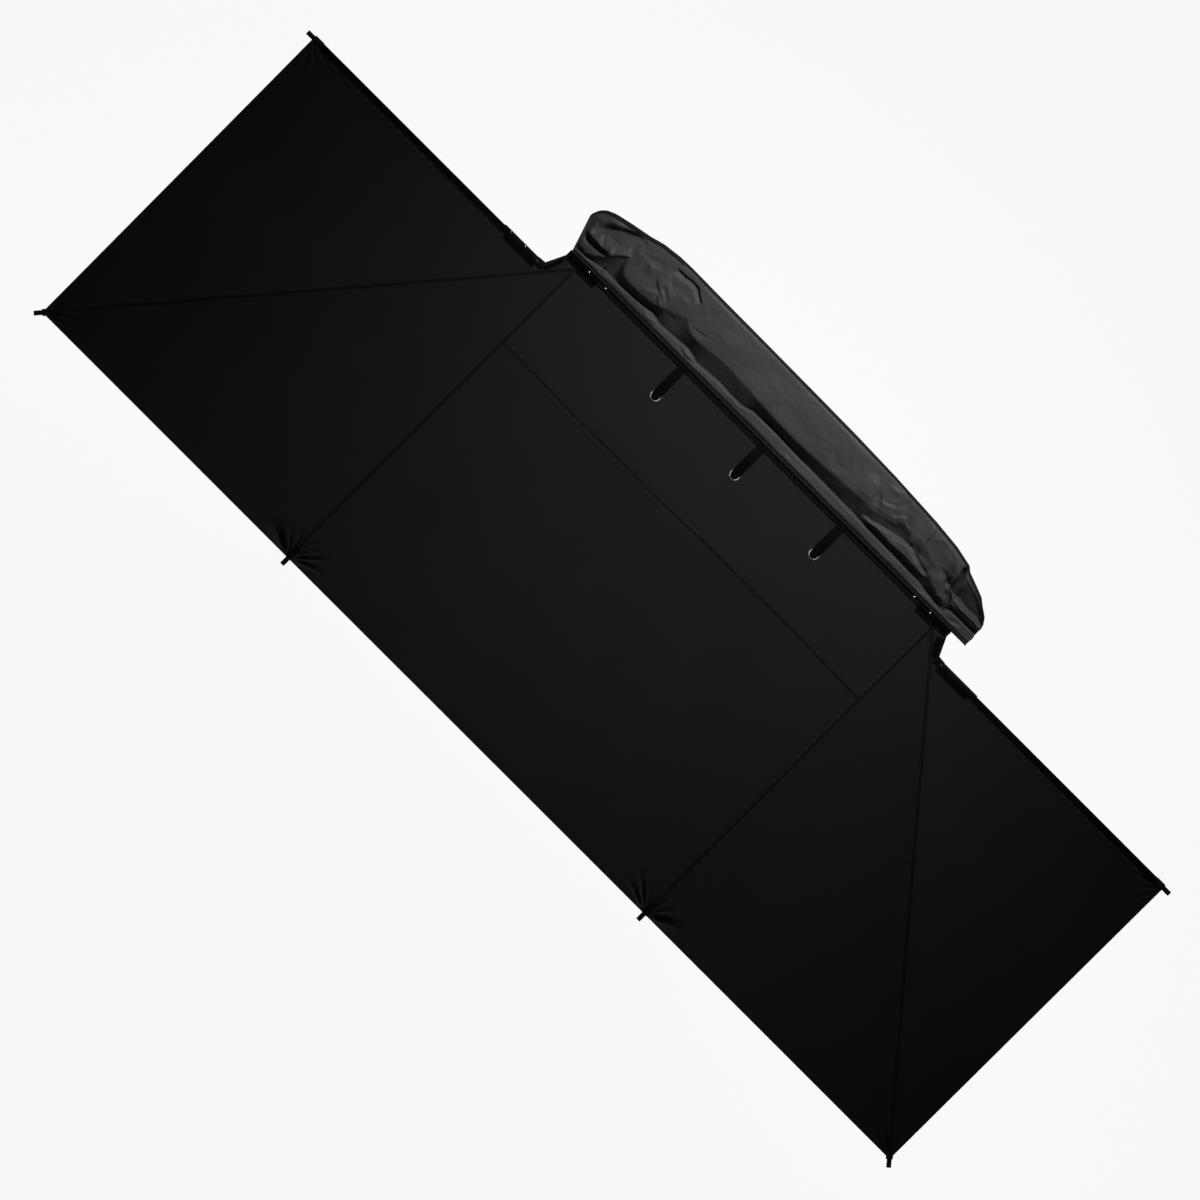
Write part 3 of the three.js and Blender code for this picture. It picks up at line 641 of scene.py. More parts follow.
def woven(name, colours, spacing, roughness, specular, relief, tint_size=0.35):
    """Plain-woven cloth: warp and weft cross over each other along its own UV map."""
    material = grained(name, colours, (tint_size, tint_size, 1), roughness, 0.0, specular=specular,
                       coordinates="UV")
    tree = material.node_tree
    shader = tree.nodes["Principled BSDF"]
    split = add(tree, "ShaderNodeSeparateXYZ", {},
                {0: measured(tree, "UV", (spacing / math.pi, spacing / math.pi, 1))})
    warp = add(tree, "ShaderNodeMath", {"operation": "SINE"}, {0: split.outputs[0]})
    weft = add(tree, "ShaderNodeMath", {"operation": "SINE"}, {0: split.outputs[1]})
    crossed = add(tree, "ShaderNodeMath", {"operation": "MULTIPLY"},
                  {0: warp.outputs[0], 1: weft.outputs[0]})
    raised = add(tree, "ShaderNodeBump", {"Distance": relief}, {"Height": crossed.outputs[0]})
    tree.links.new(raised.outputs[0], shader.inputs["Normal"])
    return material


# polyester canvas, plain woven and coated beneath: dull, its half-millimetre threads drawn five
# times as coarse so that they show
canvas_thread = 0.0026
canvas_relief = 0.00006
canvas = woven("black polyester canvas, woven", ("#171717", "#1e1e1e"), canvas_thread,
               (0.82, 0.95), 0.08, canvas_relief)
# the strip along the beam lies with its weave across; its colour is painted a little lighter, a painted sheen
strip_canvas_painted_sheen = woven("black polyester canvas, woven, turned, painted sheen", ("#1a1a1a", "#202020"),
                     canvas_thread, (0.8, 0.93), 0.08, canvas_relief)
# felled seams: the same cloth in three layers, pressed hard and darker; on the bag's far edge it is
#  also painted shade where the edge falls away
seam_and_shade_canvas = woven("black canvas, felled, also painted shade", ("#0c0c0c", "#121212"), canvas_thread, (0.8, 0.92),
                    0.08, canvas_relief)
# bindings and corner pockets: deep black coated tape
bound_canvas = woven("deep black binding tape", ("#030303", "#060606"), canvas_thread,
                     (0.8, 0.92), 0.05, canvas_relief)
# bonded polyester thread: a little glossier than the canvas
thread = grained("black polyester thread", ("#101010", "#1a1a1a"), (0.002, 0.002, 0.002),
                 (0.45, 0.6), 0.0, specular=0.3)


def run_lengths(across, along):
    """How far along a line of points, given by two coordinates, each of them lies."""
    return np.concatenate([[0], np.cumsum(np.hypot(np.diff(across), np.diff(along)))])


def path_length(path):
    """Length of a path of (x, v)."""
    return run_lengths(*np.array(path, float).T)[-1]


def along_path(path, count, inset=0.0):
    """Points spread along a path of (x, v), and the direction to its left at each of them."""
    xs, vs = np.array(path, float).T
    lengths = run_lengths(xs, vs)
    at = np.linspace(inset, lengths[-1] - inset, count)
    line = np.stack([np.interp(at, lengths, xs), np.interp(at, lengths, vs)], 1)
    run = np.gradient(line, axis=0)
    run /= np.hypot(run[:, 0], run[:, 1])[:, None]
    return line, np.stack([-run[:, 1], run[:, 0]], 1)


def faced_outwards(mesh):
    """Turns a mesh's faces outwards."""
    work = bmesh.new()
    work.from_mesh(mesh)
    bmesh.ops.recalc_face_normals(work, faces=work.faces)
    work.to_mesh(mesh)
    work.free()


def band_mesh(paths, height, thickness):
    """Flat closed bands along paths of (x, v), with their sides' distances and material place."""
    pitch = 0.005
    vertices = []
    faces = []
    kinds = []
    for path, near, far, kind in paths:
        count = max(3, math.ceil(path_length(path) / pitch) + 1)
        line, left = along_path(path, count)
        start = len(vertices)
        across = np.linspace(near, far, 2 + int(abs(far - near) / pitch))
        ring = [(offset, -1) for offset in across] + [(offset, 1) for offset in across[::-1]]
        for offset, rise in ring:
            spot = line + left * offset
            z = height(spot[:, 0], spot[:, 1]) + rise * thickness / 2
            vertices.extend(np.stack([spot[:, 0], spot[:, 1] + face, z], 1).tolist())
        faces += [tuple(start + corner for corner in quad)
                  for quad in grid_faces(len(ring), count, looped=True)]
        starts = range(start, start + len(ring) * count, count)
        faces += [tuple(starts), tuple(first + count - 1 for first in reversed(starts))]
        kinds.extend([kind] * (len(ring) * (count - 1) + 2))
    mesh = mesh_of("bands", vertices, faces)
    mesh.polygons.foreach_set("material_index", kinds)
    faced_outwards(mesh)
    lay_weave(mesh, vertices)
    return mesh


def chain(start, count):
    """Edges that join points one after another."""
    return [(step, step + 1) for step in range(start, start + count - 1)]


def stitching(material):
    """Tree that lays stitches end to end along the edges of a mesh."""
    tree = new_tree("stitches along a path", ["Pitch", "Thread"])
    given = add(tree, "NodeGroupInput")
    line = add(tree, "GeometryNodeMeshToCurve", {}, {"Mesh": given.outputs["Geometry"]})
    spaced = add(tree, "GeometryNodeResampleCurve", {"mode": "LENGTH"},
                 {"Curve": line.outputs[0], "Length": given.outputs["Pitch"]})
    tangent = add(tree, "GeometryNodeInputTangent")
    turn = add(tree, "FunctionNodeAlignRotationToVector", {"axis": "X"},
               {"Vector": tangent.outputs[0]})
    bead = add(tree, "GeometryNodeMeshUVSphere", {"Segments": 6, "Rings": 4, "Radius": 0.5})
    length = add(tree, "ShaderNodeMath", {"operation": "MULTIPLY", 1: 0.82},
                 {0: given.outputs["Pitch"]})
    size = add(tree, "ShaderNodeCombineXYZ", {},
               {0: length.outputs[0], 1: given.outputs["Thread"], 2: given.outputs["Thread"]})
    laid = add(tree, "GeometryNodeInstanceOnPoints", {},
               {"Points": spaced.outputs[0], "Instance": bead.outputs["Mesh"],
                "Rotation": turn.outputs[0], "Scale": size.outputs[0]})
    return end_tree(tree, laid, material)


stitch_tree = stitching(thread)
stitch_size = {"Pitch": 0.0085, "Thread": 0.0009}
band_thickness = 0.0022
stitch_rise = 0.0012


def stitched(rows, height, above):
    """Mesh of the stitches along rows of (x, v), each row offset to one side."""
    points = []
    edges = []
    for path, offset in rows:
        line, left = along_path(path, max(3, int(path_length(path) / 0.02)), inset=0.01)
        spot = line + left * offset
        z = height(spot[:, 0], spot[:, 1]) + above
        edges += chain(len(points), len(spot))
        points.extend(np.stack([spot[:, 0], spot[:, 1] + face, z], 1).tolist())
    return grown(stitch_tree, points, edges, stitch_size)


def thickened(piece, thickness):
    """Gives a flat piece its thickness, half to each side."""
    solid = piece.modifiers.new("thickness", "SOLIDIFY")
    solid.thickness = thickness
    solid.offset = 0
    return settled(piece)


def panel(name, node, body, outline, height, cloth, bands, rows, holes=()):
    """One panel: its cloth, the bands along its edges and seams, and their stitches."""
    sheet = placed(name, woven_mesh(name, outline, height, holes), cloth, body)
    thickened(sheet, cloth_thickness).shade_smooth()
    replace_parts(sheet, node)
    area = abs(sum(x1 * v2 - x2 * v1 for (x1, v1), (x2, v2) in sides_of(outline)))
    area = area / 2 / math.cos(arm_tilt)
    trim = placed(f"{name}_bands", band_mesh(bands, height, band_thickness), bound_canvas,
                  body)
    trim.data.materials.append(seam_and_shade_canvas)
    trim.data.materials.append(cloth)
    sewing = placed(f"{name}_stitches", stitched(rows, height, stitch_rise), thread, body)
    return [sheet, trim, sewing]


# places of the tape, the felled cloth and the plain cloth among the bands' materials
black, seam, plain = 0, 1, 2
# half widths of the felled seams and of their two rows of stitches, and the inner hems' width
seam_half = 0.0075
seam_row = 0.0055
hem_width = 0.018
# half width and thickness of the pockets over the cross arms' ends
pocket_half = 0.0175
pocket_depth = 0.0085


def edge_bands(path, inward):
    """Turned hem of an outer edge and its binding; inward is the side on which the cloth lies."""
    return [(path, 0.028 * inward, 0.0042 * inward, plain),
            (path, 0.0045 * inward, -0.0006 * inward, black)]


def edge_rows(path, inward):
    """The two rows of stitches along an outer edge."""
    return [(path, 0.007 * inward), (path, 0.025 * inward)]


def on_side(side, *places):
    """Places of the front side, or the same on the rear side."""
    return [(side * x, v) for x, v in places]


# the centre panel is narrower where it enters the beam's groove, and lapped beside that
notch_x = half_beam - 0.178
lap_v = notch_v - 0.009
welt_v = -0.009
eyelet_places = []
for place in ("front", "middle", "rear"):
    middle_x, middle_y, _ = middle_of(f"eyelet_{place}")
    eyelet_places.append((middle_x, middle_y - face))
outer_edge = [(-cross_x, reach), (cross_x, reach)]
beam_edge = [(-notch_x, welt_v), (notch_x, welt_v)]
# the long seam strays from a straight line by a few millimetres
long_seam = [(x, strip_v + 0.004 * math.sin(x * 3.1) + 0.0015 * math.sin(x * 11))
             for x in np.linspace(-cross_x + 0.01, cross_x - 0.01, 60)]
centre_pieces = panel(
    "canopy_centre_cloth", "canopy_centre", "frame",
    beam_edge + [(notch_x, lap_v), (cross_x, lap_v), (cross_x, reach), (-cross_x, reach),
                 (-cross_x, lap_v), (-notch_x, lap_v)],
    centre_height, canvas,
    edge_bands(outer_edge, -1)
    + [(long_seam, -0.006, 0.006, seam),
       ([(-notch_x, -0.008), (notch_x, -0.008)], 0, 0.012, black),
       ([(notch_x, lap_v), (cross_x, lap_v)], 0.0, 0.016, black),
       ([(-cross_x, lap_v), (-notch_x, lap_v)], 0.0, 0.016, black)],
    edge_rows(outer_edge, -1) + [(long_seam, -0.004), (long_seam, 0.004), (beam_edge, 0.012)],
    eyelet_places)
strip = centre_pieces[0].data
strip.materials.append(strip_canvas_painted_sheen)
# faces nearer the beam than the long seam take the lighter cloth, a painted sheen
for polygon in strip.polygons:
    if polygon.center.y < face + strip_v:
        polygon.material_index = 1
side_pieces = {}
side_run = wing_x - cross_x
root_x = joints["front_wing_fold"]["pos_m"][0]
root_v = notch_v + (reach - notch_v) * (root_x - cross_x) / side_run
for end, side in (("front", 1), ("rear", -1)):
    diagonal = on_side(side, (cross_x, notch_v), (wing_x, reach))
    cross_seam = on_side(side, (cross_x, notch_v), (cross_x, reach))
    hem = on_side(side, (cross_x, reach), (wing_x, reach))
    side_pieces[f"{end}_corner"] = panel(
        f"canopy_{end}_corner_cloth", f"canopy_{end}_corner", f"{end}_cross_arm",
        diagonal + [(side * cross_x, reach)], corner_height, canvas,
        [(cross_seam, -seam_half, seam_half, seam)] + edge_bands(hem, -side),
        [(cross_seam, -seam_row), (cross_seam, seam_row)] + edge_rows(hem, -side))
    pocket_run = on_side(side, (cross_x, reach - 0.066), (cross_x, reach - 0.014))
    pocket = band_mesh([(pocket_run, -pocket_half, pocket_half, black)], corner_height,
                       pocket_depth)
    placed(f"canopy_{end}_cross_pocket", pocket, bound_canvas, f"{end}_cross_arm")
    # the wing's root, between knuckle and seam, stays with the knuckle when the arm folds
    throat = on_side(side, (half_beam + 0.01, notch_v), (half_beam + 0.044, hem_v))
    throat_width = 0.018 if side > 0 else 0.034
    root_hem = [throat[1], (side * root_x, hem_v)]
    side_pieces[f"{end}_root"] = panel(
        f"canopy_{end}_wing_root", f"canopy_{end}_wing", "frame",
        on_side(side, (cross_x, notch_v)) + throat
        + on_side(side, (root_x, hem_v), (root_x, root_v)), wing_height, canvas,
        [(root_hem, 0.0, hem_width * side, black), (throat, 0.0, throat_width * side, black)],
        [(root_hem, 0.004 * side), (root_hem, 0.015 * side)])
    inner_hem = on_side(side, (root_x, hem_v), (wing_x, hem_v))
    socket_hem = on_side(side, (root_x, hem_v + 0.01), (half_beam + 0.27, hem_v + 0.01))
    end_hem = on_side(side, (wing_x, hem_v), (wing_x, reach))
    side_pieces[f"{end}_wing"] = panel(
        f"canopy_{end}_wing_cloth", f"canopy_{end}_wing", f"{end}_wing_arm",
        inner_hem + on_side(side, (wing_x, reach), (root_x, root_v)), wing_height, canvas,
        [(inner_hem, 0.0, hem_width * side, black), (socket_hem, 0.0, 0.024 * side, black)]
        + edge_bands(end_hem, side),
        [(inner_hem, 0.004 * side), (inner_hem, 0.015 * side)] + edge_rows(end_hem, side))
    felled = band_mesh([(diagonal, -seam_half, seam_half, black)], corner_height, 0.0024)
    sewing = stitched([(diagonal, -seam_row), (diagonal, seam_row)], corner_height, 0.0013)
    side_pieces[f"{end}_seam"] = [
        placed(f"canopy_{end}_corner_seam", felled, seam_and_shade_canvas, f"{end}_corner_arm"),
        placed(f"canopy_{end}_corner_seam_stitches", sewing, thread, f"{end}_corner_arm")]

# Canopy pieces: each gets its own copy of its mesh. The arm's lean and the cloth's level at each
#  corner pivot are worked out here but not used.
for piece in centre_pieces:
    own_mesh(piece)
for end, side in (("front", 1), ("rear", -1)):
    for piece in side_pieces[f"{end}_corner"]:
        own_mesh(piece)
    run = Vector((0, 1, wing_planes[side][1])).normalized()
    for piece in side_pieces[f"{end}_wing"]:
        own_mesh(piece)
    arm_normal = lean @ Vector((0, 0, 1))
    lift = cloth_rise + (0.004 if end == "front" else 0)
    level = Vector(joints[f"{end}_corner_fold"]["pos_m"]) + arm_normal * lift
    for piece in side_pieces[f"{end}_seam"]:
        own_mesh(piece)
    for piece in side_pieces[f"{end}_root"]:
        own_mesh(piece)

# Eyelets: pairs of turned stainless steel rings, pressed together through the canopy's cloth. One
# pair lies under each strap.
# radius and height of the two rings' outline, round the cloth that they grip
lip = [(0.0228, -0.0022), (0.0236, -0.0031), (0.0262, -0.0034), (0.0282, -0.0026),
       (0.029, -0.0012), (0.0288, -0.0008), (0.0248, -0.0008), (0.0246, 0.0008),
       (0.0288, 0.0008), (0.029, 0.0012), (0.0282, 0.0026), (0.0262, 0.0034),
       (0.0236, 0.0031), (0.0228, 0.0022)]
angles = np.arange(64) * 2 * math.pi / 64
for place, (eyelet_x, eyelet_v) in zip(("front", "middle", "rear"), eyelet_places):
    mesh = mesh_of("eyelet",
                   [(r * math.cos(a), r * math.sin(a), z) for r, z in lip for a in angles],
                   grid_faces(len(lip), len(angles), rings=True, looped=True))
    slope_here = float(panel_slope(np.array(eyelet_x)))
    middle = float(centre_height(np.array([eyelet_x]), np.array([eyelet_v]))[0])
    mesh.transform(Matrix.Translation((eyelet_x, face + eyelet_v, middle))
                   @ Matrix.Rotation(-math.atan(slope_here), 4, "X"))
    ring = placed(f"eyelet_ring_{place}", mesh, stainless, "frame")
    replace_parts(ring, f"eyelet_{place}")
    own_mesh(ring)

# Straps: black polypropylene webbing, sewn to the canopy's beam edge, gathered narrower and put
# down through an eyelet each. They tie up the folded arms.

# webbing, woven: deep black, its ribs drawn three millimetres wide so that they show
webbing = woven("black polypropylene webbing, woven", ("#020202", "#060606"), 0.0032,
                (0.8, 0.95), 0.06, 0.0004, tint_size=0.02)
strap_width = 0.064
gathered_by = 0.021
above_cloth = 0.0044
strap_thickness = 0.0016
# radius of the bend into the eyelet, and the clear radius within its ring
bend = 0.0135
clear_radius = 0.0214
lying_rows, bent_rows, hanging_rows = 46, 9, 26
across = np.linspace(-0.5, 0.5, 15)
for place, (strap_x, strap_v), phase in zip(("front", "middle", "rear"), eyelet_places, (0, 1, 1)):
    # it lies slack on the cloth, bends down through the eyelet and hangs to the node's foot
    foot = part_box(f"tie_strap_{place}")[0].z
    turn_v = strap_v + 0.005
    turning = np.linspace(0.15, 1, bent_rows) * math.pi / 2
    outs = np.concatenate([np.linspace(-0.02, turn_v, lying_rows), turn_v + bend * np.sin(turning),
                           turn_v + bend + np.linspace(0.0005, 0.014, hanging_rows)])
    lying = np.minimum(outs, turn_v)
    slack = 0.009 * np.sin(math.pi * np.clip((lying - 0.002) / (strap_v - 0.012), 0, 1))
    surface = centre_height(np.full(len(outs), strap_x), lying) + above_cloth + slack
    turn_down = np.concatenate([np.zeros(lying_rows), bend * (1 - np.cos(turning)),
                                np.linspace(0.0155, surface[-1] - foot, hanging_rows)])
    heights = surface - turn_down
    heights[:8] = np.maximum(heights[:8], beam_top + 0.0046)
    # it narrows over the first 75 mm, fits the eyelet's ring and spreads again below
    narrowing = np.clip((outs - 0.005) / 0.07, 0, 1)
    narrowing = narrowing * narrowing * (3 - 2 * narrowing)
    widths = strap_width - gathered_by * narrowing
    in_eyelet = np.clip(outs - strap_v, 0, 0.0185)
    widths = np.minimum(widths, 2 * np.sqrt(clear_radius ** 2 - in_eyelet ** 2))
    widths[-hanging_rows:] += 0.025 * np.clip(np.arange(hanging_rows) / 7, 0, 1)
    # where it is gathered it is cupped and rippled
    vertices = []
    for index, out in enumerate(outs):
        cup = 0.0022 * narrowing[index] * (1 - (2 * across) ** 2)
        ripple = 0.0007 * narrowing[index] * np.cos(across * 21 + phase + index * 0.05)
        falling = index >= lying_rows + 4
        for share, bow in zip(across, cup + ripple):
            vertices.append((strap_x + share * widths[index],
                             face + out - (bow + 0.0005 if falling else 0),
                             heights[index] + (0 if falling else bow)))
    mesh = mesh_of("strap", vertices, grid_faces(len(outs), len(across)))
    lengths = run_lengths(outs, heights)
    lay_weave(mesh, np.stack([np.tile(across * 0.04, len(outs)),
                              np.repeat(lengths, len(across))], 1))
    strap = placed(f"webbing_strap_{place}", mesh, webbing, "frame", smooth=60)
    thickened(strap, strap_thickness).shade_smooth()
    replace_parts(strap, f"tie_strap_{place}")


# Cover bag: coated polyester cloth, sewn as a long sleeve with a zip. It is empty here and turned
# back behind the beam, where it lies slack, pinched at the front and pleated at the rear.
hinge_y = joints["bag_flip"]["pos_m"][1]
bag_low, bag_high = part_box("bag")
rest_z = bag_low.z
# how far from the hinge the sole and the plain hem end
sole_flap = 0.02
hem_end = 0.0145
# where its far edge lies, and how high its crown stands
outline_x = [-1.318, -1.3, -1.21, -1.13, -1.08, -1.06, -0.96, -0.81, -0.54, -0.28, 0.0, 0.3,
             0.6, 0.76, 0.84, 0.93, 1.0, 1.09, 1.176, 1.22, 1.245, 1.264]
outline_w = [0.125, 0.145, 0.203, 0.231, 0.248, 0.267, 0.288, 0.302, 0.316, 0.323, 0.326, 0.328,
             0.33, 0.332, 0.33, 0.319, 0.3, 0.283, 0.264, 0.246, 0.222, 0.176]
crown_x = [-1.318, -1.3, -1.2, -1.1, -1.06, -0.9, -0.6, -0.2, 0.3, 0.7, 0.95, 1.06, 1.16, 1.23,
           1.264]
crown_h = [0.03, 0.04, 0.046, 0.05, 0.06, 0.064, 0.066, 0.068, 0.068, 0.067, 0.064, 0.058, 0.05,
           0.04, 0.026]
# where the flap that lies along the beam ends, and where the full side above it begins
flap_x = [-1.318, -1.13, -1.109, -1.01, -0.94, -0.79, -0.535, -0.28, 0.0, 0.12, 0.176, 0.32,
          0.456, 0.52, 0.6, 0.696, 0.752, 0.808, 0.92, 1.05, 1.15, 1.264]
flap_w = [0.06, 0.06, 0.032, 0.041, 0.05, 0.054, 0.058, 0.0625, 0.07, 0.066, 0.042, 0.05, 0.04,
          0.06, 0.052, 0.044, 0.064, 0.052, 0.044, 0.042, 0.03, 0.02]
full_x = [-1.318, -1.2, -1.13, -1.05, -0.994, -0.943, -0.84, -0.79, -0.73, -0.67, -0.57, -0.45,
          -0.28, -0.11, 0.06, 0.2, 0.36, 0.52, 0.576, 0.624, 0.68, 0.76, 0.84, 0.95, 0.978, 1.006,
          1.03, 1.06, 1.1, 1.15, 1.2, 1.264]
full_w = [0.086, 0.088, 0.085, 0.07, 0.088, 0.1135, 0.137, 0.156, 0.194, 0.15, 0.13, 0.13,
          0.118, 0.109, 0.1135, 0.12, 0.128, 0.112, 0.12, 0.148, 0.128, 0.096, 0.084, 0.086, 0.1,
          0.158, 0.142, 0.12, 0.092, 0.066, 0.05, 0.05]
# points along the bag, over its top and under its sole, and a station on its calm middle
stations = 560
top_points = 130
sole_points = 22
calm = 200


def section(x):
    """Distances from the hinge and heights of the bag's upper cloth at one place along it."""
    far = np.interp(x, outline_x, outline_w)
    full = np.interp(x, crown_x, crown_h)
    low = np.interp(x, flap_x, flap_w)
    brow = max(np.interp(x, full_x, full_w), low + 0.02)
    places = [0, 0.006, 0.0115, 0.0135, 0.0185, low - 0.004, low, low + 0.004, brow - 0.003,
              brow + 0.004, brow + 0.03, (brow + far) / 2, far - 0.03, far - 0.014, far - 0.003,
              far]
    heights = [0.0267, 0.0272, 0.0268, 0.028, 0.0345, 0.034, 0.031, 0.016, 0.9 * full,
               0.955 * full, 0.98 * full, full, 0.985 * full, 0.93 * full, 0.55 * full, 0.004]
    return np.maximum.accumulate(np.array(places)) + np.arange(16) * 1e-5, np.array(heights)


def crease(x, w, start, end, height, inboard, beside, bow=0.0, crisp=3.2):
    """One fold: straight flanks to both sides of a line, which may bow, faded at its ends."""
    run_x, run_w = end[0] - start[0], end[1] - start[1]
    length = math.hypot(run_x, run_w)
    along = ((x - start[0]) * run_x + (w - start[1]) * run_w) / length ** 2
    off = ((w - start[1]) * run_x - (x - start[0]) * run_w) / length
    off = off - bow * length * 4 * np.clip(along, 0, 1) * (1 - np.clip(along, 0, 1))
    fade = np.clip(np.minimum(along, 1 - along) * crisp, 0, 1)
    flank = np.where(off * math.copysign(1, run_x) > 0, inboard, beside)
    return height * fade * np.clip(1 - np.abs(off) / flank, 0, 1)


# Creases that show: start and end in metres along the bag and inboard from its hinge, height,
# width inboard and on the hinge's side, bow, and how soon it fades in
shown_creases = [
    ((1.22, 0.115), (0.99, 0.268), -0.024, 0.02, 0.022, -0.1, 4),
    ((1.235, 0.17), (1.1, 0.25), 0.008, 0.02, 0.03, -0.05, 4),
    ((1.25, 0.116), (1.06, 0.108), 0.016, 0.06, 0.008, 0.0, 7),
    ((1.24, 0.088), (1.085, 0.1), -0.02, 0.014, 0.02, 0.0, 7),
    ((1.22, 0.032), (1.06, 0.112), 0.012, 0.012, 0.016, 0.06, 7),
    ((1.085, 0.102), (0.998, 0.178), 0.014, 0.04, 0.008, 0.05, 7),
    ((1.052, 0.06), (1.06, 0.01), -0.008, 0.006, 0.012, 0.0, 7),
    ((1.006, 0.25), (1.004, 0.16), -0.003, 0.01, 0.03, 0.0, 5),
    ((0.93, 0.2), (0.85, 0.22), 0.004, 0.03, 0.04, 0.05),
    ((0.81, 0.28), (0.68, 0.286), -0.012, 0.007, 0.026, 0.0, 9),
    ((0.692, 0.288), (0.625, 0.246), -0.012, 0.007, 0.026, 0.0, 9),
    ((0.8, 0.26), (0.81, 0.16), 0.005, 0.05, 0.012, 0.1),
    ((0.85, 0.2), (0.74, 0.13), 0.008, 0.06, 0.012, 0.05),
    ((0.8, 0.19), (0.73, 0.13), -0.006, 0.014, 0.05, 0.0),
    ((0.87, 0.1), (0.79, 0.145), 0.006, 0.012, 0.04, 0.0),
    ((0.8, 0.145), (0.74, 0.095), 0.007, 0.04, 0.012, 0.0),
    ((0.6, 0.15), (0.48, 0.165), -0.004, 0.006, 0.03, 0.06),
    ((0.5, 0.2), (0.36, 0.215), 0.003, 0.05, 0.04, 0.05),
    ((0.8, 0.045), (0.7, 0.04), 0.005, 0.02, 0.01, 0.1),
    ((0.56, 0.05), (0.46, 0.042), 0.006, 0.02, 0.01, 0.1),
    ((0.26, 0.035), (0.12, 0.055), 0.005, 0.01, 0.02, 0.0),
    ((-0.1, 0.04), (-0.16, 0.03), 0.003, 0.01, 0.02, 0.1),
    ((0.05, 0.24), (-0.2, 0.21), 0.003, 0.06, 0.05, 0.0),
    ((-0.24, 0.24), (-0.38, 0.17), -0.003, 0.03, 0.06, 0.2),
    ((-0.48, 0.262), (-0.54, 0.13), 0.011, 0.03, 0.06, 0.05),
    ((-0.53, 0.22), (-0.6, 0.15), -0.006, 0.012, 0.03, 0.0),
    ((-0.55, 0.27), (-0.62, 0.268), 0.004, 0.01, 0.02, 0.0),
    ((-0.56, 0.18), (-0.64, 0.215), 0.007, 0.012, 0.04, 0.05),
    ((-0.64, 0.205), (-0.7, 0.16), -0.007, 0.03, 0.01, 0.0),
    ((-0.66, 0.175), (-0.72, 0.22), 0.007, 0.01, 0.03, 0.0),
    ((-0.7, 0.215), (-0.76, 0.19), -0.005, 0.03, 0.012, 0.0),
    ((-0.53, 0.086), (-0.97, 0.09), 0.022, 0.055, 0.018, 0.0, 5),
    ((-0.54, 0.088), (-0.795, 0.146), -0.018, 0.055, 0.02, 0.0, 8),
    ((-0.785, 0.146), (-0.96, 0.096), -0.018, 0.055, 0.02, 0.0, 8),
    ((-0.828, 0.295), (-0.855, 0.135), 0.009, 0.01, 0.03, 0.0, 6),
    ((-0.87, 0.28), (-0.93, 0.16), -0.004, 0.03, 0.05, 0.05),
    ((-0.93, 0.285), (-1.0, 0.2), 0.005, 0.014, 0.04, 0.05),
    ((-0.97, 0.275), (-1.04, 0.21), 0.006, 0.01, 0.03, 0.05),
    ((-1.058, 0.275), (-1.1, 0.07), -0.04, 0.022, 0.016, 0.05, 5),
    ((-1.02, 0.17), (-1.1, 0.06), -0.028, 0.03, 0.016, 0.05),
    ((-0.97, 0.17), (-1.09, 0.13), -0.022, 0.05, 0.02, 0.0),
    ((-1.085, 0.12), (-1.115, 0.025), -0.026, 0.012, 0.014, 0.0, 5),
    ((-1.06, 0.248), (-1.34, 0.155), 0.014, 0.014, 0.03, 0.0, 6),
    ((-1.07, 0.13), (-1.46, 0.112), -0.038, 0.075, 0.018, 0.0, 8),
    ((-1.1, 0.102), (-1.46, 0.092), 0.009, 0.014, 0.01, 0.0, 8),
    ((-1.14, 0.03), (-1.24, 0.055), -0.005, 0.02, 0.01, 0.1),
]


def chance_creases(x, w):
    """Small crumples at fixed chance places, few on the calm middle and many near the ends."""
    chance = np.random.default_rng(7)
    total = np.zeros_like(x)
    for _ in range(90):
        end_share = chance.uniform(0, 1) ** 0.45 * chance.choice([-1, 1])
        start = np.array([0.06 + 1.2 * end_share, chance.uniform(0.05, 0.28)])
        heading = chance.normal(0, 0.6) + chance.integers(2) * math.pi
        length = chance.uniform(0.05, 0.2)
        end = start + length * np.array([math.cos(heading), math.sin(heading)])
        height = chance.choice([-1, 1]) * chance.uniform(0.0006, 0.0024)
        total += crease(x, w, start, end, height, chance.uniform(0.012, 0.04),
                        chance.uniform(0.012, 0.04), chance.uniform(-0.15, 0.15))
    return total


# the upper cloth: evenly spaced points over each section, smoothed along and across
bag_x = np.linspace(bag_low.x, bag_high.x, stations)
bag_reach = np.interp(bag_x, outline_x, outline_w)
share_along = np.linspace(0, 1, top_points)
grid_w = np.zeros((stations, top_points))
grid_z = np.zeros((stations, top_points))
for row, x in enumerate(bag_x):
    places, heights = section(x)
    lengths = run_lengths(places, heights)
    even = share_along * lengths[-1]
    grid_w[row] = np.interp(even, lengths, places)
    grid_z[row] = np.interp(even, lengths, heights)
for _ in range(2):
    for grid in (grid_w, grid_z):
        grid[1:-1] = (grid[:-2] + 2 * grid[1:-1] + grid[2:]) / 4
        grid[:, 1:-1] = (grid[:, :-2] + 2 * grid[:, 1:-1] + grid[:, 2:]) / 4
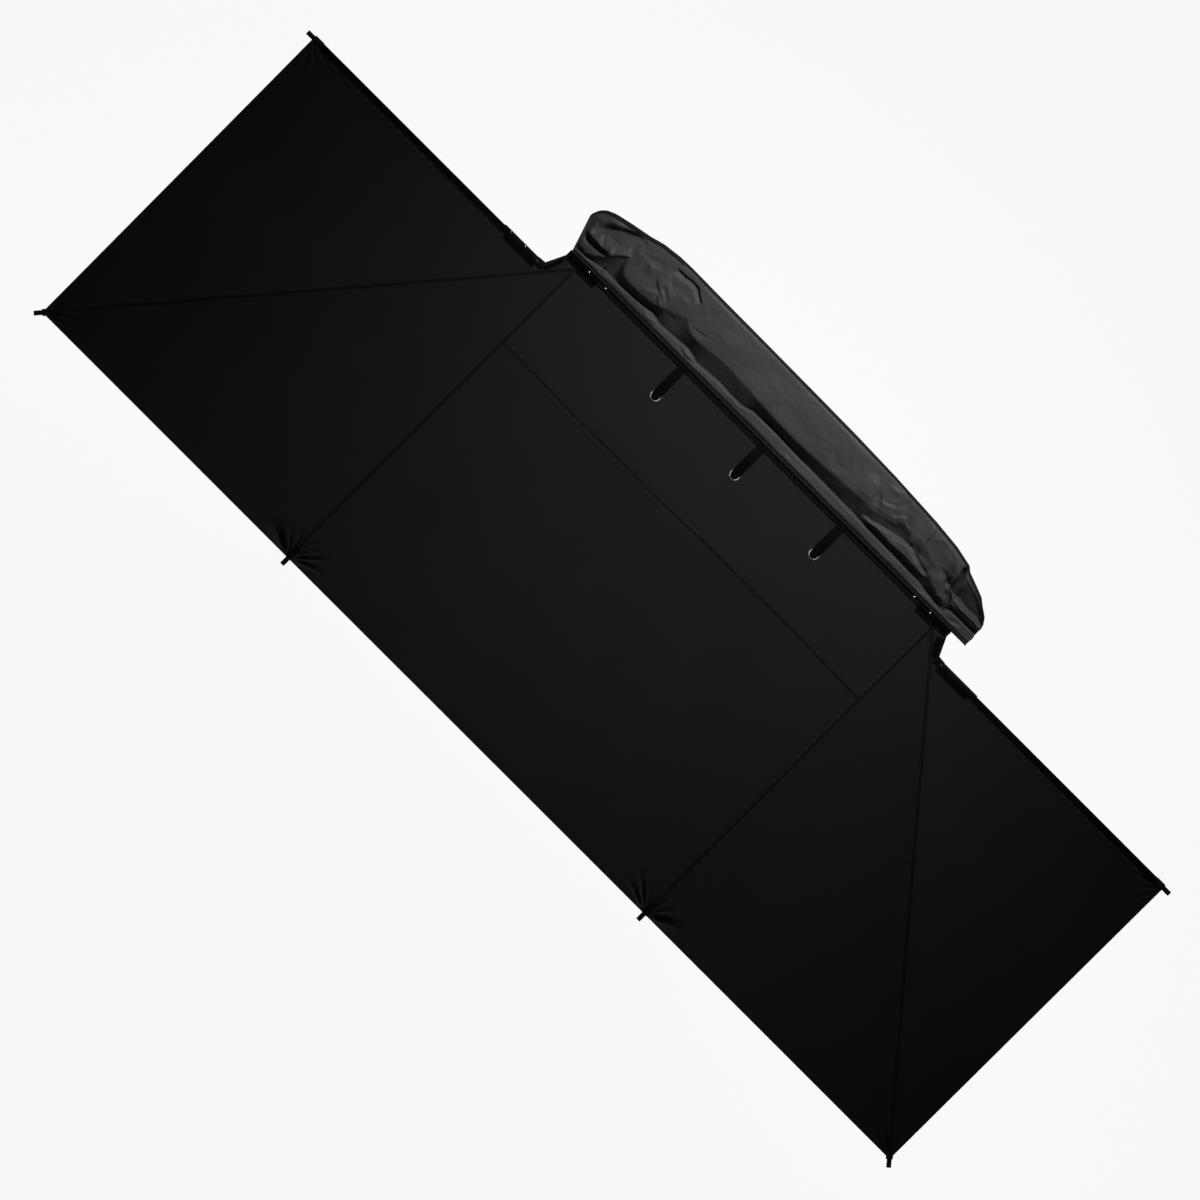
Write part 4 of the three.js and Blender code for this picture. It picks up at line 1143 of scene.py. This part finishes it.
# its folds and its slackness, which fade out at the hinge, the far edge and the ends
grid_x = np.repeat(bag_x[:, None], top_points, 1)
near_end = np.minimum(bag_x - bag_low.x, bag_high.x - bag_x)[:, None]
free = np.clip((grid_w - 0.018) / 0.008, 0, 1)
free *= np.clip((bag_reach[:, None] - grid_w) / 0.03, 0, 1)
free = free * np.clip(near_end / 0.02, 0, 1)
swell = 0.0025 * np.sin(grid_x * 8.3 + 0.4) * np.sin(grid_w * 17)
swell += 0.001 * np.sin(grid_x * 21 + grid_w * 30)
bent_x = grid_x + 0.003 * np.sin(grid_w * 61 + grid_x * 9) + 0.002 * np.sin(grid_x * 47)
bent_w = grid_w + 0.0018 * np.sin(grid_x * 43 + grid_w * 20) + 0.001 * np.sin(grid_x * 101)
folds = chance_creases(bent_x, bent_w)
for values in shown_creases:
    folds += crease(bent_x, bent_w, *values)
grid_z = grid_z + free * (swell + folds)
hem_bead = 0.0014 * np.exp(-(((grid_w - 0.0085) / 0.003) ** 2))
hem_bead += 0.0016 * np.exp(-(((grid_w - 0.0045) / 0.0016) ** 2))
grid_z = np.maximum(grid_z + hem_bead, 0.003) + rest_z
grid_z = np.minimum(grid_z, bag_high.z + 0.004)
# the flat sole and the piece at the hinge close each ring
lie = np.linspace(0, 1, sole_points)
sole_w = bag_reach[:, None] * 0.985 * (1 - lie[None, :]) + sole_flap * lie[None, :]
sole_z = rest_z + 0.0004 + 0.002 * np.sin(lie[None, :] * math.pi) * (
    1 + np.sin(bag_x[:, None] * 31)) / 2
back_w = np.repeat(np.array([[0.0165, 0.012, 0.0075, 0.003, -0.0012, -0.0022]]), stations, 0)
back_z = np.repeat(np.array([[0.0155, 0.0225, 0.0306, 0.0306, 0.031, 0.0332]]), stations, 0)
ring_w = np.concatenate([grid_w, sole_w, back_w], 1)
ring_z = np.concatenate([grid_z, sole_z * np.ones((stations, 1)), back_z], 1)
count = ring_w.shape[1]
ring_x = np.repeat(bag_x[:, None], count, 1)
# both ends are drawn in, the front most beside the beam
front_pull = np.clip((ring_x - 0.95) / 0.314, 0, 1) ** 1.5
rear_pull = np.clip((-1.1 - ring_x) / 0.218, 0, 1) ** 1.5
ring_x = ring_x - front_pull * 0.062 * np.clip(1 - ring_w / 0.19, 0, 1)
ring_x = ring_x + rear_pull * (0.02 + 0.01 * np.clip(ring_w / 0.17, 0, 1)
                               + 0.0025 * np.sin(ring_w * 110))
vertices = np.stack([ring_x, hinge_y - ring_w, ring_z], 2).reshape(-1, 3)
mesh = closed_tube("bag", vertices.tolist(), stations, count)
faced_outwards(mesh)
around = run_lengths(ring_w[calm], ring_z[calm])
lay_weave(mesh, np.stack([np.repeat(bag_x, count), np.tile(around, stations)], 1))
# polyester cloth with a smooth coating: satin, charcoal, with a fine crumple pressed into it
bag_cloth = grained("charcoal coated polyester, sewn", ("#2d2d2d", "#383838"), (0.09, 0.05, 0.05),
                    (0.5, 0.64), 0.0, specular=0.12)
tree = bag_cloth.node_tree
crumple = add(tree, "ShaderNodeTexVoronoi",
              {"feature": "SMOOTH_F1", "Scale": 1.0, "Smoothness": 0.35, "Detail": 2.0,
               "Roughness": 0.5}, {"Vector": measured(tree, "Object", (0.06, 0.03, 0.03))})
pressed = add(tree, "ShaderNodeBump", {"Distance": 0.002, "Strength": 0.5},
              {"Height": crumple.outputs["Distance"]})
cells = add(tree, "ShaderNodeTexNoise", {"Scale": 1.0, "Detail": 2.0},
            {"Vector": measured(tree, "Object", (0.0011, 0.0011, 0.0011))})
skin = add(tree, "ShaderNodeBump", {"Distance": 0.00005},
           {"Height": cells.outputs[0], "Normal": pressed.outputs[0]})
tree.links.new(skin.outputs[0], tree.nodes["Principled BSDF"].inputs["Normal"])
bag = placed("cover_bag_cloth", mesh, bag_cloth, None, smooth=70)
bag.data.materials.append(canvas)
bag.data.materials.append(seam_and_shade_canvas)
# the hem at the hinge is plain canvas; the far edge is rolled and felled, and its dark band is also
#  painted shade where the edge falls away, widest at the front
hem_columns = int(np.sum(grid_w[calm] < hem_end))
for polygon in bag.data.polygons:
    if len(polygon.vertices) == 4:
        row, column = divmod(polygon.vertices[0], count)
        # width of the dark far edge: the felled binding plus painted shade, wider at the front
        felled_and_shaded_width = 0.017 if bag_x[row] < 0.8 else 0.023
        if column < hem_columns:
            polygon.material_index = 1
        elif column < top_points and grid_w[row, column] > bag_reach[row] - felled_and_shaded_width:
            polygon.material_index = 2
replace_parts(bag, "bag")

# Bag seams: bonded polyester thread in two rows along the hem that holds the welt, sewn through
# both layers of the canvas.
points = []
edges = []
for inboard in (0.005, 0.0115):
    column = int(np.argmin(np.abs(grid_w[calm] - inboard)))
    edges += chain(len(points), stations - 10)
    points += [(ring_x[i, column], hinge_y - grid_w[i, column], grid_z[i, column] + 0.0002)
               for i in range(5, stations - 5)]
bag_stitches = placed("cover_bag_stitches", grown(stitch_tree, points, edges, stitch_size),
                      thread, None)
# when the bag turns over, its hem stays in the beam's groove and the cloth beside it bends
for piece in (bag, bag_stitches):
    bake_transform(piece, "frame", "cover_bag", start=(0, hinge_y - 0.004, 0),
             end=(0, hinge_y - 0.028, 0))

# Zip: nylon coil on woven tape, sewn along the bag's underside as it lies now, with a pressed
# stainless steel slider.
zip_low, zip_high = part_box("bag_zip")
# zip tape, woven: dull black, finer than the webbing
zip_cloth = woven("black polyester zip tape, woven", ("#070707", "#0c0c0c"), 0.0016, (0.8, 0.9),
                  0.15, 0.0002, tint_size=0.05)
tape_y = [zip_low.y, zip_low.y + 0.0045, zip_low.y + 0.0058, zip_high.y - 0.0058,
          zip_high.y - 0.0045, zip_high.y]
tape_z = [zip_high.z - 0.0006, zip_high.z - 0.0009, zip_high.z - 0.0013, zip_high.z - 0.0013,
          zip_high.z - 0.0009, zip_high.z - 0.0006]
tape_x = np.linspace(zip_low.x, zip_high.x, 160)
vertices = [(x, y, z) for x in tape_x for y, z in zip(tape_y, tape_z)]
mesh = mesh_of("zip tape", vertices, grid_faces(len(tape_x), len(tape_y)))
lay_weave(mesh, vertices)
tape = placed("zip_tape_woven", mesh, zip_cloth, "cover_bag")
thickened(tape, 0.0007)
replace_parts(tape, "bag_zip")
coil_y = middle_of("bag_zip")[1]
coil = grown(stitch_tree, [(x, coil_y, zip_low.z + 0.0011) for x in tape_x],
             chain(0, len(tape_x)), {"Pitch": 0.0026, "Thread": 0.0021})
placed("zip_coil", coil, nylon, "cover_bag")
work = bmesh.new()
# its body, its nose and its pull: size, and place against the middle
for size, shift in (((0.014, 0.0125, 0.0026), (0.007, 0, 0.0003)),
                    ((0.003, 0.0045, 0.0022), (0.0005, 0, -0.0002)),
                    ((0.021, 0.0075, 0.0012), (-0.0085, 0, -0.0006))):
    made = bmesh.ops.create_cube(work, size=1)["verts"]
    bmesh.ops.scale(work, vec=size, verts=made)
    bmesh.ops.translate(work, vec=Vector(shift) + Vector(middle_of("zip_slider")),
                        verts=made)
mesh = bpy.data.meshes.new("slider")
work.to_mesh(mesh)
work.free()
slider = placed("zip_slider_pressed", mesh, stainless, "slider")
rounded = slider.modifiers.new("pressed edges", "BEVEL")
rounded.width = 0.0005
rounded.segments = 3
settled(slider).shade_smooth()
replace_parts(slider, "zip_slider")

# Studio: pale floor 2.1 m below the beam, walls brighter than the ceiling, one long soft light
# from behind the beam, and the camera straight above, turned as the photograph is.
floor_z = -2.1
floor_mesh = mesh_of("floor", [(-30, -30, floor_z), (30, -30, floor_z), (30, 30, floor_z),
                               (-30, 30, floor_z)], [(0, 1, 2, 3)])
floor = linked("floor", floor_mesh)
# white wall paint, rolled: matt, and seen as plain white by the camera and in reflections
floor_paint = bpy.data.materials.new("white studio floor, painted")
floor_paint.use_nodes = True
tree = floor_paint.node_tree
output = tree.nodes["Material Output"]
tree.nodes.remove(tree.nodes["Principled BSDF"])
paint = add(tree, "ShaderNodeBsdfDiffuse", {"Color": linear("#f4f4f4")})
glow = add(tree, "ShaderNodeEmission", {"Color": (1, 1, 1, 1), "Strength": 1.0})
seen = add(tree, "ShaderNodeLightPath")
either = add(tree, "ShaderNodeMath", {"operation": "MAXIMUM"},
             {0: seen.outputs["Is Camera Ray"], 1: seen.outputs["Is Glossy Ray"]})
share = add(tree, "ShaderNodeMath", {"operation": "MULTIPLY", 1: 0.93}, {0: either.outputs[0]})
mixed = add(tree, "ShaderNodeMixShader", {}, {0: share.outputs[0], 1: paint.outputs[0],
                                              2: glow.outputs[0]})
tree.links.new(mixed.outputs[0], output.inputs["Surface"])
floor_mesh.materials.append(floor_paint)
floor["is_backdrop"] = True

world = bpy.data.worlds.new("studio")
world.use_nodes = True
bpy.context.scene.world = world
tree = world.node_tree
backdrop = tree.nodes["Background"]
looking = add(tree, "ShaderNodeTexCoord")
split = add(tree, "ShaderNodeSeparateXYZ", {}, {0: looking.outputs["Generated"]})
walls = add(tree, "ShaderNodeMapRange", {"From Min": 0.2, "From Max": 0.8, "To Min": 0.17,
                                         "To Max": 0.04}, {"Value": split.outputs[2]})
seen = add(tree, "ShaderNodeLightPath")
level = add(tree, "ShaderNodeMix", {"data_type": "FLOAT", 3: 1.0},
            {0: seen.outputs["Is Camera Ray"], 2: walls.outputs[0]})
backdrop.inputs["Color"].default_value = (1, 1, 1, 1)
tree.links.new(level.outputs[0], backdrop.inputs["Strength"])

lamp = bpy.data.lights.new("long soft light", "AREA")
lamp.shape = "RECTANGLE"
lamp.size = 2.4
lamp.size_y = 1.0
lamp.energy = 57
lamp.spread = math.radians(80)
lit = linked("long soft light", lamp)
lit.location = (0, -2.8, 2.6)
lit.rotation_mode = "QUATERNION"
lit.rotation_quaternion = (Vector((0, 0.4, 0)) - lit.location).to_track_quat("-Z", "Y")

lens = bpy.data.cameras.new("camera")
lens.sensor_width = 36
camera = linked("camera", lens)
away = 40.0
picture_width = 5.4
lens.lens = lens.sensor_width * away / picture_width
lens.clip_end = 200
right = Vector((-1, -1, 0)).normalized()
upward = Vector((1, -1, 0)).normalized()
camera.matrix_world = Matrix((
    (right.x, upward.x, 0, 0.007), (right.y, upward.y, 0, face + 0.99),
    (0, 0, 1, away - 0.07), (0, 0, 0, 1)))
bpy.context.scene.camera = camera
bpy.context.scene.view_settings.view_transform = "Standard"

bpy.context.view_layer.update()
low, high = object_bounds()
